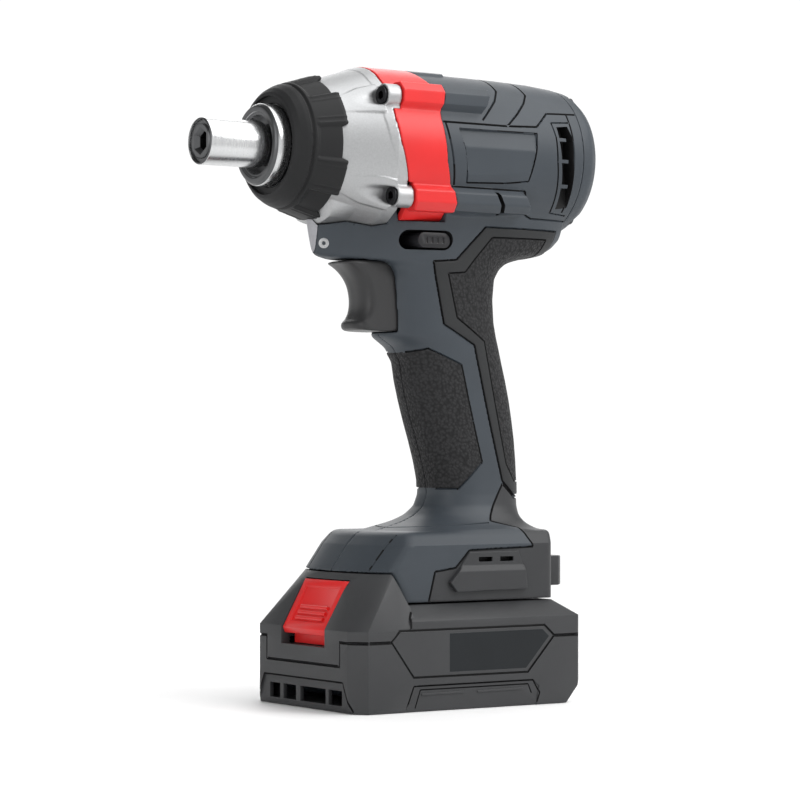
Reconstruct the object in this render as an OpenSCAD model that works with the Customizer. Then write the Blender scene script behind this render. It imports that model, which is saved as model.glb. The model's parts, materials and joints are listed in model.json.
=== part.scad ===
// Cordless impact driver with a slide-on battery pack.
// Millimetres, +Z up, the nose points along -X, the battery stands on z = 0.

/* [Battery pack] */
// Width of the pack, five 18 mm cells side by side
pack_w = 75; // [74:1:84]
// Front face of the pack
pack_front = -53; // [-58:0.5:-52.5]
// Rear face of the pack
pack_rear = 48.8; // [48:0.2:56]
// Height of the seam between lower and upper case
seam_z = 25.7; // [25:0.1:26.4]
// Height of the deck the foot sits over
deck_z = 38.8; // [38:0.2:39.6]
// Wall of the pack cases
pack_wall = 2.2; // [1.6:0.1:2.4]
// Cell diameter
cell_d = 18.3; // [18:0.1:18.4]
// How far the release button pulls down
button_travel = 3.5; // [2:0.1:3.5]

/* [Tool head] */
// Height of the drive axis
axis_z = 209.2; // [208.4:0.2:213]
// Radius of the motor housing
head_r = 30.8; // [30.4:0.1:31.2]
// Front end of the bit sleeve
nose_x = -97.5; // [-102:0.5:-95]
// Rear face of the end cap
tail_x = 67.5; // [66:0.5:72]
// Wall of the housing halves
wall = 2.6; // [2.2:0.1:3.2]
// Radius of the bit sleeve
sleeve_r = 8.7; // [8.2:0.1:9.2]
// Across the flats of the bit socket (6.35 mm bits)
socket_af = 6.5; // [6.4:0.05:6.8]
// How far the bit sleeve pulls forward
sleeve_travel = 4.5; // [3:0.5:5]

/* [Drive] */
// Gear module
gear_m = 0.8; // [0.7:0.05:0.8]
// Teeth on the motor pinion
sun_teeth = 12; // [12:1:12]
// Teeth on each planet
planet_teeth = 18; // [18:1:18]
// Thinning of each tooth for backlash
backlash = 0.16; // [0.1:0.02:0.3]
// Stator outside radius
stator_r = 25; // [23:0.5:25.5]
// Rotor radius
rotor_r = 14.5; // [13:0.5:15]
// Motor shaft radius
shaft_r = 2.5; // [2:0.1:2.8]
// How far the hammer can run back on its cam
hammer_travel = 7; // [4:0.5:7]

/* [Grip and trigger] */
// Half width of the trigger
trigger_w = 8.4; // [7.5:0.1:9]
// How far the trigger pulls in
trigger_travel = 6.5; // [4:0.5:7]
// Thickness of the rubber grips
rubber = 1.6; // [1.2:0.1:1.8]
// How far the direction selector moves to each side
selector_travel = 3; // [2:0.5:3.5]

/* [Clearances] */
// Gap round sliding and pushed-in pieces
slide_gap = 0.3; // [0.2:0.05:0.4]
// Radial gap of running fits
run_gap = 0.05; // [0.03:0.01:0.08]
// Gap of seated pieces
seat_gap = 0.05; // [0.02:0.01:0.1]

/* [Hidden] */
$fn = 72;
eps = 0.01;
x_mid = (nose_x + tail_x) / 2;
ring_n = 30;
pack_half = pack_w / 2;
ring_teeth = sun_teeth + 2 * planet_teeth;
gear_axis = gear_m * (sun_teeth + planet_teeth) / 2;
ring_outer = 24;
pin_r = 2.4;
// Screw bosses that join the hammer case to the housing, [y, dz, front end]
bosses = [for (side = [-1, 1]) each [[side * 25.4, 18.4, -34], [side * 25.4, -18.6, -29.6]]];
boss_r = 4.4;
shell_fn = 28;
floor_n = 18;
room_n = 12;
// Foot and pack meet on these levels
hump_z = deck_z + 11.4;
foot_low = deck_z + 0.8;
rail_low = deck_z + 4.6;
rail_top = deck_z + 8.8;
foot_floor = deck_z + 9.4;
room_floor = foot_floor + 2.2;
foot_side = 30.5;
foot_rear = 43.8;
rail_in = 20;
// Slope of the pack's front, from its foot to its top edge
slope_low = [pack_front, 29.8];
slope_top = [-41, hump_z];
button_w = 15;
// Middle of the row of cells and the step between them
cell_mid = -2;
cell_step = cell_d + 0.15;
cell_l = pack_w - 10;
shelf_z = 23.2;
button_low = shelf_z + button_travel + 0.5;
// Front of the tongue under the button
tongue_x = -48.8;
// Trigger's rear face and the switch behind it
trigger_rear = -9.5;
switch_x = trigger_rear + trigger_travel + 2.7;
// Bit ball and spring stations behind the nose
ball_x = nose_x + 12;
land_x = nose_x + 8.5;
// Motor and gear radii
pinion_r = gear_m * (sun_teeth / 2 + 0.9);
shoe_r = rotor_r + 0.26 * (stator_r - rotor_r);
yoke_r = rotor_r + 0.75 * (stator_r - rotor_r);
magnet_r = rotor_r - 4.5;
// Hammer, cam and anvil stations along the axis
ear_front = -53;
ear_rear = -46;
hammer_front = -45.5;
hammer_rear = -22;
carrier_front = -12;
plate_x = 5.2;
fan_x = 48;
cap_x = 57;
// Joint of case and housing, measured from the barrel
spigot_r = head_r - 1.9;
band_in = head_r - 1.5;
band_low = head_r + 0.55;
band_out = head_r + 0.95;
plate_r = head_r - 3;
// Rear edge of the rubber boot on the case
boot_rear = -50.2;
// Flat front of the chin and the pin behind it
chin_x = -48.3;
nose_pin_at = [-46.2, 173.5];

// Shared shapes

module place() {
  translate([-x_mid, 0, 0]) children();
}

// Turns a shape that stands on z so that it lies along the drive axis
module along_x() {
  translate([0, 0, axis_z]) rotate([0, 90, 0]) children();
}

// Solid turned about the drive axis from points [radius, x]
module turned(points) {
  along_x() rotate_extrude() polygon(points);
}

// Rod or bore along the drive axis between two stations
module rod(r, x0, x1) {
  along_x() translate([0, 0, x0]) cylinder(r = r, h = x1 - x0);
}

// Rod whose flats clear the stated radius, for use in the shells
module clear_rod(r, x0, x1) {
  rod(r / cos(180 / shell_fn), x0, x1);
}

// Rod along X at an offset from the drive axis
module side_rod(y, dz, r, x0, x1) {
  translate([x0, y, axis_z + dz]) rotate([0, 90, 0]) cylinder(r = r, h = x1 - x0);
}

// Box from two corners
module box(p, q) {
  translate(p) cube(q - p);
}

// Side-view outline [x, z] carried across the whole width
module prism(points, half = 60) {
  rotate([90, 0, 0]) translate([0, 0, -half]) linear_extrude(2 * half) polygon(points);
}

// Plan outline [x, y] between two heights
module slab(points, z0, z1) {
  translate([0, 0, z0]) linear_extrude(z1 - z0) polygon(points);
}

// Both copies of something across the middle plane
module both_sides() {
  children();
  mirror([0, 1, 0]) children();
}

// Rounded bar along Y with an oblong section
module oblong_y(x0, x1, z0, z1, half) {
  r = (z1 - z0) / 2;
  rotate([90, 0, 0]) translate([0, 0, -half]) linear_extrude(2 * half) {
    translate([x0 + r, z0]) square([x1 - x0 - 2 * r, 2 * r]);
    translate([x0 + r, z0 + r]) circle(r);
    translate([x1 - r, z0 + r]) circle(r);
  }
}

// Round wire coil along z, ends left plain
module coil(r, wire, turns, length) {
  per_turn = 10;
  sides = 5;
  rings = ceil(turns * per_turn);
  points = [for (i = [0:rings], k = [0:sides - 1])
    let (t = 360 * turns * i / rings, a = 360 * k / sides)
      [(r + wire * cos(a)) * cos(t), (r + wire * cos(a)) * sin(t),
       wire + (length - 2 * wire) * i / rings + wire * sin(a)]];
  walls = [for (i = [0:rings - 1], k = [0:sides - 1])
    let (n = (k + 1) % sides, a = i * sides, b = a + sides)
      each [[a + k, b + k, b + n], [a + k, b + n, a + n]]];
  start = [for (k = [0:sides - 1]) k];
  finish = [for (k = [sides - 1:-1:0]) rings * sides + k];
  polyhedron(points, concat(walls, [start], [finish]), convexity = 6);
}

// Involute gear outline
function involute_deg(a) = tan(a) * 180 / PI - a;
function tooth_half(r, rb, rp, half_at_pitch) =
  half_at_pitch + involute_deg(25) - involute_deg(acos(min(1, rb / r)));
function gear_outline(teeth, outer, inner, thin) =
  let (rp = gear_m * teeth / 2,
       rb = rp * cos(25),
       half_at_pitch = 90 / teeth - thin / (2 * rp) * 180 / PI,
       start = max(rb, inner),
       radii = [for (i = [0:4]) start + (outer - start) * i / 4])
  [for (t = [0:teeth - 1]) let (c = 360 * t / teeth)
    each concat(
      [let (h = tooth_half(start, rb, rp, half_at_pitch) + 0.1)
        inner * [cos(c - h), sin(c - h)]],
      [for (r = radii) let (h = tooth_half(r, rb, rp, half_at_pitch))
        r * [cos(c - h), sin(c - h)]],
      [for (i = [4:-1:0]) let (r = radii[i], h = tooth_half(r, rb, rp, half_at_pitch))
        r * [cos(c + h), sin(c + h)]],
      [let (h = tooth_half(start, rb, rp, half_at_pitch) + 0.1)
        inner * [cos(c + h), sin(c + h)]])];

// Form of the tool's body

// Handle and chin, one row per level:
// height, front, middle, rear, half width, front roundness, rear roundness
grip_rows = [
  [63.5, -21, 18, 43.8, 26, 3.0, 3.2],
  [66.5, -16, 18, 42.6, 23.6, 2.8, 3.0],
  [68.5, -9, 19, 41.4, 20.8, 2.6, 2.8],
  [71, -3, 20, 40.7, 18.6, 2.5, 2.6],
  [74.5, 1.2, 21, 40.5, 17, 2.5, 2.5],
  [79, 2.8, 21.7, 40.6, 16.2, 2.5, 2.5],
  [84.5, 2.6, 21.7, 40.7, 15.8, 2.5, 2.5],
  [92, 0.8, 20.6, 40.5, 15.6, 2.5, 2.5],
  [100, -1.7, 19.2, 39.9, 15.5, 2.5, 2.5],
  [107.5, -4.2, 17.4, 38.9, 15.5, 2.5, 2.5],
  [115, -6.4, 15.7, 37.6, 15.6, 2.5, 2.5],
  [122.5, -8.2, 14, 35.8, 15.8, 2.5, 2.5],
  [130, -9.3, 12.2, 33.7, 16, 2.5, 2.5],
  [135.5, -13, 10.5, 32.3, 16.2, 2.5, 2.5],
  [139.4, -19.5, 9, 31.2, 16.4, 2.4, 2.5],
  [145, -19, 7.5, 30, 16.6, 2.4, 2.5],
  [154, -19.5, 6.5, 29.4, 16.9, 2.4, 2.5],
  [162, -21, 6, 30.2, 17.3, 2.3, 2.5],
  [166, -28, 5.5, 32.8, 17.8, 1.9, 2.5],
  [168.6, -47, 5, 36.5, 18.1, 1.5, 2.5],
  [170.4, -48.8, 5, 43.5, 18.4, 1.5, 2.5],
  [172.2, -49.4, 5, 53.5, 18.8, 1.5, 2.6],
  [175, -50, 5, 58.5, 19.3, 1.5, 2.7],
  [178, -50.6, 5, 61.3, 20, 1.5, 2.8],
  [182, -51.2, 5, 62.3, 20.8, 1.5, 2.8],
  [188, -51.6, 5, 62.3, 22, 1.5, 2.8]
];

// One closed level of the handle in n points, grown by d
function grip_ring(row, d, n_at) =
  [for (k = [0:n_at - 1])
    let (t = 360 * k / n_at,
         c = cos(t),
         s = sin(t),
         reach = c < 0 ? row[2] - row[1] + d : row[3] - row[2] + d,
         n = c < 0 ? row[5] : row[6])
      [row[2] + reach * sign(c) * pow(abs(c), 2 / n),
       (row[4] + d) * sign(s) * pow(abs(s), 2 / n),
       row[0]]];

// Handle solid, one convex piece between each two levels
module grip_form(d = 0, n_at = ring_n) {
  side = [for (k = [0:n_at - 1]) let (n = (k + 1) % n_at)
    [k, n_at + k, n_at + n, n]];
  low = [for (k = [0:n_at - 1]) k];
  high = [for (k = [n_at - 1:-1:0]) n_at + k];
  for (i = [0:len(grip_rows) - 2])
    hull() polyhedron(
      concat(grip_ring(grip_rows[i], d, n_at), grip_ring(grip_rows[i + 1], d, n_at)),
      concat(side, [low], [high]));
}

// Barrel round the motor
module head_form(d = 0) {
  turned([[0, -30], [head_r + 0.1 + d, -30], [head_r + 0.1 + d, 8], [head_r - 0.2 + d, 30],
          [head_r - 0.8 + d, 46], [head_r - 1.8 + d, cap_x], [0, cap_x]]);
}

// Eight-sided bar along a screw boss
module boss_bar(b, r, from, to) {
  translate([from, b[0], axis_z + b[1]]) rotate([0, 90, 0]) rotate(22.5)
    cylinder(r = r, h = to - from, $fn = 8);
}

// Slanting ends of the ridges in the side view, [x, height over the axis]
upper_ridge = [[-13, 8], [5.7, 8], [26.9, 30], [-13, 30]];
lower_ridge = [[-13, -8], [9.9, -8], [29.2, -30], [-13, -30]];
lower_block = [[12.4, -8], [22.9, -8], [42.6, -30], [32.2, -30]];

function over_axis(points) = [for (p = points) [p[0], axis_z + p[1]]];

// Ridges on the barrel that carry the case screws
module ridge_form(d = 0) {
  for (b = bosses)
    intersection() {
      boss_bar(b, boss_r + 0.8 + d, -12, 45);
      if (b[1] > 0) prism(over_axis(upper_ridge));
      else union() {
        prism(over_axis(lower_ridge));
        prism(over_axis(lower_block));
      }
    }
}

// Plan outline of the foot, bowed at the front
function foot_plan(front, bow, half, rear, d) =
  [[front - d, -8], [front + bow * 0.3 - d, -half * 0.62], [front + bow - d, -half + 1.5 - d],
   [front + bow + 2.5, -half - d], [rear - 5, -half - d], [rear - 1.5 + d, -half + 3 - d],
   [rear + 1 + d, -half * 0.6], [rear + 1 + d, half * 0.6],
   [rear - 1.5 + d, half - 3 + d], [rear - 5, half + d], [front + bow + 2.5, half + d],
   [front + bow - d, half - 1.5 + d], [front + bow * 0.3 - d, half * 0.62], [front - d, 8]];

// Foot that the pack slides under
function foot_base(front, d) =
  [[front, -foot_side - d], [foot_rear - 5, -foot_side - d],
   [foot_rear - 1.5 + d, 3 - foot_side - d], [foot_rear + 1 + d, -18],
   [foot_rear + 1 + d, 18], [foot_rear - 1.5 + d, foot_side - 3 + d],
   [foot_rear - 5, foot_side + d], [front, foot_side + d]];

module foot_form(d = 0) {
  hull() {
    slab(foot_plan(-40.6, 8, foot_side, foot_rear, d), hump_z + 0.8, hump_z + 0.9);
    slab(foot_plan(-33.5, 7.2, foot_side, foot_rear, d), 60.5, 60.6);
    slab(foot_plan(-28.5, 7, 26, foot_rear - 1, d), 65.4 + d * 0.6, 65.5 + d * 0.6);
  }
  hull() {
    slab(foot_base(-32.2, d), hump_z, hump_z + 1);
    slab(foot_base(-27.3, d), foot_low, foot_low + 0.1);
  }
}

module body_form(d = 0, n_at = ring_n) {
  head_form(d);
  ridge_form(d);
  grip_form(d, n_at);
  foot_form(d);
}

// Space outside a given depth of the body
module outside_of(depth) {
  difference() {
    box([-100, -60, 0], [100, 60, 300]);
    body_form(-depth, floor_n);
  }
}

// Side-view outlines of what lies on the skin
front_grip_outline = [[-60, 130.3], [-23, 130.3], [-5.4, 134.6], [8.3, 128.6], [18.1, 91.4],
                      [8.7, 81.2], [-60, 81.4]];
rear_grip_outline = [[-5.4, 167.5], [4.3, 168.2], [16.3, 181.1], [54.4, 181.1], [51.6, 170],
                     [51.6, 160], [90, 150], [90, 78.6], [34, 78.6], [27.6, 84], [14.1, 136],
                     [-0.1, 143.7]];
guard_outline = [[27.6, 83], [18.5, 69], [29, 66.4], [31.2, 59.3], [1.8, 58.5], [-4.6, 52],
                 [-13.9, 50.8], [-19.3, 30], [90, 30], [90, 77.6], [34, 77.6]];
// Trim ring, [x, height over the axis]
band_points = [[-31.8, 50], [-31.8, 29], [-31, 9.8], [-29.5, 1.3], [-24.2, -13.8], [-20.6, -26.2],
               [-2.5, -26.8], [-5, -15.2], [-8.5, -5.2], [-10.5, 10.8], [-8.7, 23.8], [-8.7, 50]];
band_outline = over_axis(band_points);
trigger_outline = [[-38.6, 167.6], [-33.5, 163.5], [-30.6, 158], [-29.8, 152], [-30.6, 147.5],
                   [-33, 144.4], [-32.6, 142], [-30, 140.8], [-13, 140.8], [trigger_rear, 144],
                   [trigger_rear, 158], [-11, 163], [-14, 166.2], [-18.5, 167.8]];

// Sets the outline free of its neighbours by a gap
module grown_prism(points, gap, half = 60) {
  rotate([90, 0, 0]) translate([0, 0, -half]) linear_extrude(2 * half)
    offset(delta = gap) polygon(points);
}

// Housing halves

// Room inside the housing for the works
module housing_room() {
  head_form(-wall);
  difference() {
    grip_form(-wall, room_n);
    box([-60, -40, 0], [60, 40, 67]);
    box([-60, -40, 139], [-15, 40, 141.5]);
  }
  hull() {
    slab(foot_plan(-31, 7, 27.4, 39, 0), room_floor, room_floor + 0.1);
    slab(foot_plan(-24, 6, 22.6, 37.5, 0), 63, 63.1);
  }
  box([2, -12, 60], [32, 12, 74]);
}

// Slot under the foot that takes the pack's rails
module rail_slot() {
  box([-60, -rail_in - 4.6, rail_low], [37, rail_in + 4.6, foot_floor]);
  box([-60, -rail_in, foot_low - 1], [37, rail_in, foot_floor]);
  box([-60, -8.4, 40], [-33, 8.4, 54.6]);
}

// Openings cut through the housing
module housing_openings() {
  grown_prism(trigger_outline, slide_gap, trigger_w + slide_gap);
  box([-60, -30, 141.2], [-17.4, 30, 167.6]);
  box([-20, -trigger_w - slide_gap, 140.6],
      [trigger_rear + trigger_travel + 2, trigger_w + slide_gap, 168]);
  oblong_y(-20, 2, 171.6, 179, 40);
  turned([[0, -80], [case_r(-80) + 0.5, -80], [case_r(-30) + 0.5, -30], [head_r + 1.1, -29],
          [head_r + 1.1, -24.6], [spigot_r + 0.3, -24.6], [spigot_r + 0.3, 4.6], [0, 4.6]]);
  box([-80, -40, 160], [chin_x, 40, 200]);
  box([-80, -2.2, 169.8], [-40, 2.2, 179]);
  both_sides() vent_slots();
  for (b = bosses) side_rod(b[0], b[1], 1.9, -40, 10);
  rod(head_r - 1.5, cap_x + 0.1, 80);
  box([3.8, -16.2, 47], [26.2, 16.2, 51]);
  box([30, -9, 45], [60, 9, 53.5]);
}

// Cooling slots on the side of the motor, stacked with bars between them
module vent_slots() {
  for (i = [0:3])
    box([45 + i * 0.6, -40, axis_z + 5.6 - i * 8.6], [52 + i * 0.8, -20, axis_z + 11.6 - i * 8.6]);
}

// Ribs and posts that hold the works
module housing_inside() {
  intersection() {
    body_form(-1, room_n);
    union() {
      for (x = [22, 38])
        difference() {
          rod(head_r - 1, x, x + 2.4);
          clear_rod(stator_r + seat_gap, x - 1, x + 4);
        }
      difference() {
        union() {
          box([-5, -17, 139.6], [24, 17, 141.6]);
          box([20.2, -17, 146], [22.2, 17, 166]);
          box([-7, -17, 164.6], [20, 17, 166.6]);
        }
        box([2, -6.4, 164], [15, 6.4, 170]);
      }
      for (p = screw_posts)
        translate([p[0], 0, p[1]]) rotate([90, 0, 0])
          cylinder(r = 3.6, h = 60, center = true, $fn = 16);
      for (a = cap_screws)
        translate([49, 0, axis_z]) rotate([a, 0, 0]) translate([0, 0, 25.4]) rotate([0, 90, 0])
          cylinder(r = 2.7, h = cap_x - 49, $fn = 16);
    }
  }
}

// Posts for the screws that close the halves, [x, z]
screw_posts = [[11.5, 131.5], [17.5, 108], [20, 84.5], [-25, 57.5], [-31, 173.6]];
// Angles of the end cap's screws
cap_screws = [30, 150, 210, 330];

module housing_whole() {
  $fn = shell_fn;
  difference() {
    union() {
      difference() {
        body_form();
        housing_room();
      }
      housing_inside();
    }
    housing_openings();
    rail_slot();
    intersection() {
      outside_of(rubber);
      union() {
        prism(front_grip_outline);
        prism(rear_grip_outline);
      }
    }
    intersection() {
      outside_of(1.4);
      prism(guard_outline);
    }
    intersection() {
      turned([[head_r - 1.8, -60], [head_r + 9, -60], [head_r + 9, 10], [head_r - 1.8, 10]]);
      grown_prism(band_outline, 0.25);
    }
    motor_room();
    for (p = screw_posts)
      translate([p[0], 0, p[1]]) rotate([90, 0, 0]) screw_hole();
  }
}

// Clear way for rotor, fan and gear plate
module motor_room() {
  clear_rod(stator_r - 2, plate_x - 1, fan_x - 2);
  clear_rod(23, fan_x - 2.5, cap_x + 1);
  clear_rod(stator_r + seat_gap, 19.9, 42.1);
  clear_rod(plate_r + seat_gap, plate_x - 0.8, 13.9);
  translate([nose_pin_at[0], 0, nose_pin_at[1]]) rotate([90, 0, 0])
    cylinder(r = 1.65, h = 60, center = true, $fn = 16);
  for (a = cap_screws)
    translate([53.5, 0, axis_z]) rotate([a, 0, 0]) translate([0, 0, 25.4]) rotate([0, 90, 0])
      cylinder(r = 1.7, h = 10, $fn = 12);
}

module screw_hole() {
  $fn = 14;
  cylinder(r = 1.4, h = 17, center = true);
  translate([0, 0, -60]) cylinder(r = 3, h = 60 - 7);
  translate([0, 0, -8]) cylinder(r = 1.75, h = 8);
}

module left_housing() color("#42474d") place()
  intersection() {
    housing_whole();
    box([-100, -60, 0], [100, -0.05, 300]);
  }

module right_housing() color("#42474d") place()
  intersection() {
    housing_whole();
    box([-100, 0.05, 0], [100, 60, 300]);
  }

// Self-tapping screws that close the halves, driven from the right side
module housing_screws() color("#1c1d1f") place()
  for (p = screw_posts)
    translate([p[0], 0, p[1]]) rotate([90, 0, 0]) {
      translate([0, 0, -9.9]) difference() {
        cylinder(r = 2.7, h = 2.6);
        translate([0, 0, -1]) cylinder(r = 1.2, h = 2.2, $fn = 6);
      }
      translate([0, 0, -7.4]) cylinder(r = 1.35, h = 13);
    }

// End cap with the rear bearing seat and air inlets
module rear_cap() color("#3d4247") place()
  difference() {
    turned([[0, tail_x], [17, tail_x], [22.5, tail_x - 0.7], [26, tail_x - 2.6],
            [28.2, tail_x - 6], [head_r - 1.9, cap_x + 0.15], [head_r - 7.6, cap_x + 0.15],
            [head_r - 7.6, 61.4], [8.6, 63.5], [8.6, 57.4], [6.05, 57.4], [6.05, 62], [0, 62]]);
    for (a = [15:30:345])
      translate([0, 0, axis_z]) rotate([a, 0, 0]) box([58, -1.6, 11.5], [80, 1.6, 19.5]);
    for (a = cap_screws)
      translate([0, 0, axis_z]) rotate([a, 0, 0]) translate([0, 0, 25.4]) rotate([0, 90, 0]) {
        translate([0, 0, 50]) cylinder(r = 1.7, h = 30);
        translate([0, 0, 60.2]) cylinder(r = 3, h = 20);
      }
  }

module rear_cap_screws() color("#1c1d1f") place()
  for (a = cap_screws)
    translate([0, 0, axis_z]) rotate([a, 0, 0]) translate([0, 0, 25.4]) rotate([0, 90, 0])
      difference() {
        union() {
          translate([0, 0, 60.25]) cylinder(r = 2.8, h = 2);
          translate([0, 0, 54]) cylinder(r = 1.5, h = 6.3);
        }
        translate([0, 0, 61.2]) cylinder(r = 1.2, h = 4, $fn = 6);
      }

// Hammer case and nose

// Cone of the case, and its seat under the boot
function case_r(x) = head_r + 0.9 + 0.31 * (x + 29.6);
function seat_r(x) = case_r(x) - 0.9;

module hammer_case() color("#b9bcbd") place()
  difference() {
    union() {
      difference() {
        turned([[0, -66], [18, -66], [18.6, -64.6], [seat_r(-60), -60], [seat_r(boot_rear), boot_rear],
                [case_r(boot_rear), boot_rear], [case_r(-33), -33], [head_r + 0.8, -29.5],
                [head_r + 0.8, -24.9], [spigot_r, -24.9], [spigot_r, 4.4], [0, 4.4]]);
        intersection() {
          turned([[band_low - 0.05, -45], [head_r + 9, -45], [head_r + 9, -24], [band_low - 0.05, -24]]);
          grown_prism(band_outline, 0.25);
        }
      }
      for (b = bosses) side_rod(b[0], b[1], boss_r, b[2], -24.9);
    }
    for (b = bosses) {
      side_rod(b[0], b[1], 3.5, -70, b[2] + 2.6);
      side_rod(b[0], b[1], 1.9, -40, -20);
      side_rod(b[0], b[1], boss_r + 0.9, -24.95, 10);
    }
    rod(13 + seat_gap, -70, -53.4);
    rod(20.6, -53.5, -45);
    rod(23.4, -46, 6);
    rod(ring_outer + seat_gap, -6.3, 6);
  }

// Socket screws through the case bosses
module case_screws() color("#17181a") place()
  for (b = bosses)
    difference() {
      union() {
        side_rod(b[0], b[1], 3.3, b[2] - 0.8, b[2] + 2.55);
        side_rod(b[0], b[1], 1.75, b[2] + 2.5, 8);
      }
      translate([b[2] - 2, b[0], axis_z + b[1]]) rotate([0, 90, 0])
        cylinder(r = 1.75, h = 3.2, $fn = 6);
    }

// Red trim ring round the joint of case and housing
module accent_band() color("#d92b2b") place()
  difference() {
    intersection() {
      union() {
        turned([[band_low, -40], [band_out, -40], [band_out, 4], [band_in, 4], [band_in, -24.6],
                [band_low, -24.6]]);
        for (b = bosses) boss_bar(b, boss_r + 1.4, -24.6, 4);
      }
      prism(band_outline);
    }
    rod(band_in, -40, 10);
    for (b = bosses) {
      side_rod(b[0], b[1], 1.9, -40, 10);
      side_rod(b[0], b[1], boss_r + 0.3, -60, -24.65);
    }
  }

// Rubber boot over the front of the case, six thick pads round its skirt
module nose_bumper() color("#333536") place()
  difference() {
    turned([[18.3, -68.9], [19.7, -68.6], [21.4, -66.9], [22.5, -64.6], [23, -63.1], [22.6, -62.8],
            [22.6, -62.2], [23.4, -61.6], [case_r(boot_rear - 0.3) + 1, boot_rear - 0.3],
            [seat_r(boot_rear - 0.3) + seat_gap, boot_rear - 0.3], [seat_r(-60) + seat_gap, -60],
            [18.6 + seat_gap, -64.6], [18.3, -65.3]]);
    for (a = [0:60:300])
      along_x() rotate(a + 76) rotate_extrude(angle = 28)
        polygon([[30, -60], [23.9, -60], [case_r(-52.7) + 0.3, -52.7], [20, -52.7], [20, -48],
                 [40, -48], [40, -60]]);
  }

// Steel bush that carries the anvil
module nose_bush() color("#c4c6c8") place()
  turned([[7.5 + run_gap, -53.5], [13, -53.5], [13, -66.05], [15.3, -66.05], [15.3, -72.5],
          [14.2, -73.8], [12.4, -73.8], [12, -73.1], [11, -73.1], [11, -69],
          [7.5 + run_gap, -69]]);

// Anvil with two ears, hex socket and ball hole
module anvil() color("#9a9da0") place()
  difference() {
    union() {
      turned([[0, nose_x + 0.4], [6.1, nose_x + 0.4], [6.5, nose_x + 0.8], [6.5, -72],
              [7.5, -71.6], [7.5, ear_front], [10, ear_front], [10, ear_rear], [0, ear_rear]]);
      intersection() {
        rod(19.6, ear_front, ear_rear);
        box([-60, -19.6, axis_z - 4.6], [-40, 19.6, axis_z + 4.6]);
      }
    }
    along_x() translate([0, 0, nose_x - 1]) cylinder(d = socket_af / cos(30), h = 26, $fn = 6);
    along_x() translate([0, 0, nose_x - 0.1])
      cylinder(r1 = 5.6, r2 = socket_af / 2, h = 3, $fn = 6);
    rod(4.1, ear_rear - 6.2, ear_rear + 1);
    translate([ball_x, 0, axis_z + 2]) cylinder(r = 1.65, h = 10);
    turned([[5.9, nose_x + 1.1], [7, nose_x + 1.1], [7, nose_x + 1.9], [5.9, nose_x + 1.9]]);
  }

// Sliding collar that locks the bit
module chuck_sleeve() color("#c9cbcd") place()
  turned([[8, nose_x], [8.3, nose_x], [sleeve_r, nose_x + 0.5], [sleeve_r, -72.6], [8.3, -72.1],
          [7.9, -72.1], [7.9, land_x + 7.5], [6.5 + run_gap, land_x + 6.7], [6.5 + run_gap, land_x],
          [8, land_x]]);

module sleeve_spring() color("#8f9294") place()
  along_x() translate([0, 0, nose_x + 2]) coil(7.25, 0.4, 3.5, 6.4);

// Washer that holds the spring in the collar
module sleeve_ring() color("#85888a") place()
  turned([[5.95, nose_x + 1.15], [7.8, nose_x + 1.15], [7.8, nose_x + 1.85],
          [5.95, nose_x + 1.85]]);

module bit_ball() color("#d0d2d4") place()
  translate([ball_x, 0, axis_z + 4.75]) sphere(r = 1.6);

// Hammer that strikes the anvil's ears
module hammer() color("#8b8e91") place()
  difference() {
    union() {
      turned([[9.35, hammer_front], [22, hammer_front], [22.6, hammer_front + 0.6],
              [22.6, hammer_rear - 0.6], [22, hammer_rear], [20, hammer_rear], [20, -35],
              [12.8, -35], [12.8, -26], [9.35, -26]]);
      for (a = [0, 180])
        translate([0, 0, axis_z]) rotate([a, 0, 0])
          intersection() {
            box([hammer_front - 6.5, -4.6, 10.6], [hammer_front + 1, 4.6, 21]);
            translate([-60, 0, 0]) rotate([0, 90, 0]) cylinder(r = 20, h = 30);
          }
    }
    for (a = [90, 270])
      translate([0, 0, axis_z]) rotate([a, 0, 0])
        translate([-50, 0, 9]) rotate([0, 90, 0]) cylinder(r = 2.55, h = 50 - 31.4);
  }

module hammer_spring() color("#77797b") place()
  along_x() translate([0, 0, -34.9]) coil(16.4, 1.5, 3.5, 22.4);

// Planet carrier with the cam shaft the hammer runs on
module cam_carrier() color("#999ca0") place()
  difference() {
    turned([[0, -51.6], [3.9, -51.6], [4, -51.2], [4, -45.4], [9, -45.2], [9, carrier_front - 2],
            [10.5, carrier_front], [20.5, carrier_front], [20.5, carrier_front + 5.5],
            [0, carrier_front + 5.5]]);
    for (a = [90, 270])
      translate([0, 0, axis_z]) rotate([a, 0, 0]) translate([-34, 0, 9]) sphere(r = 2.3);
    for (i = [0:2])
      along_x() rotate(120 * i) translate([gear_axis, 0, carrier_front - 1])
        cylinder(r = pin_r + seat_gap, h = 9);
    rod(pinion_r + 0.5, carrier_front + 3.4, 0);
  }

module cam_balls() color("#d0d2d4") place()
  for (a = [90, 270])
    translate([0, 0, axis_z]) rotate([a, 0, 0]) translate([-34, 0, 9]) sphere(r = 2.2);

module planet_pins() color("#b4b6b8") place()
  for (i = [0:2])
    along_x() rotate(120 * i) translate([gear_axis, 0, carrier_front + 0.2])
      cylinder(r = pin_r, h = 15.6);

// Planet gear on its pin
module planet(i) {
  along_x() rotate(120 * i) translate([gear_axis, 0, -6]) difference() {
    rotate(180 / planet_teeth) linear_extrude(9.4)
      polygon(gear_outline(planet_teeth, gear_m * (planet_teeth / 2 + 0.9),
                           gear_m * (planet_teeth / 2 - 1.2), backlash));
    translate([0, 0, -1]) cylinder(r = pin_r + run_gap, h = 12);
  }
}

module planet_a() color("#a4a7aa") place() planet(0);
module planet_b() color("#a4a7aa") place() planet(1);
module planet_c() color("#a4a7aa") place() planet(2);

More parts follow.
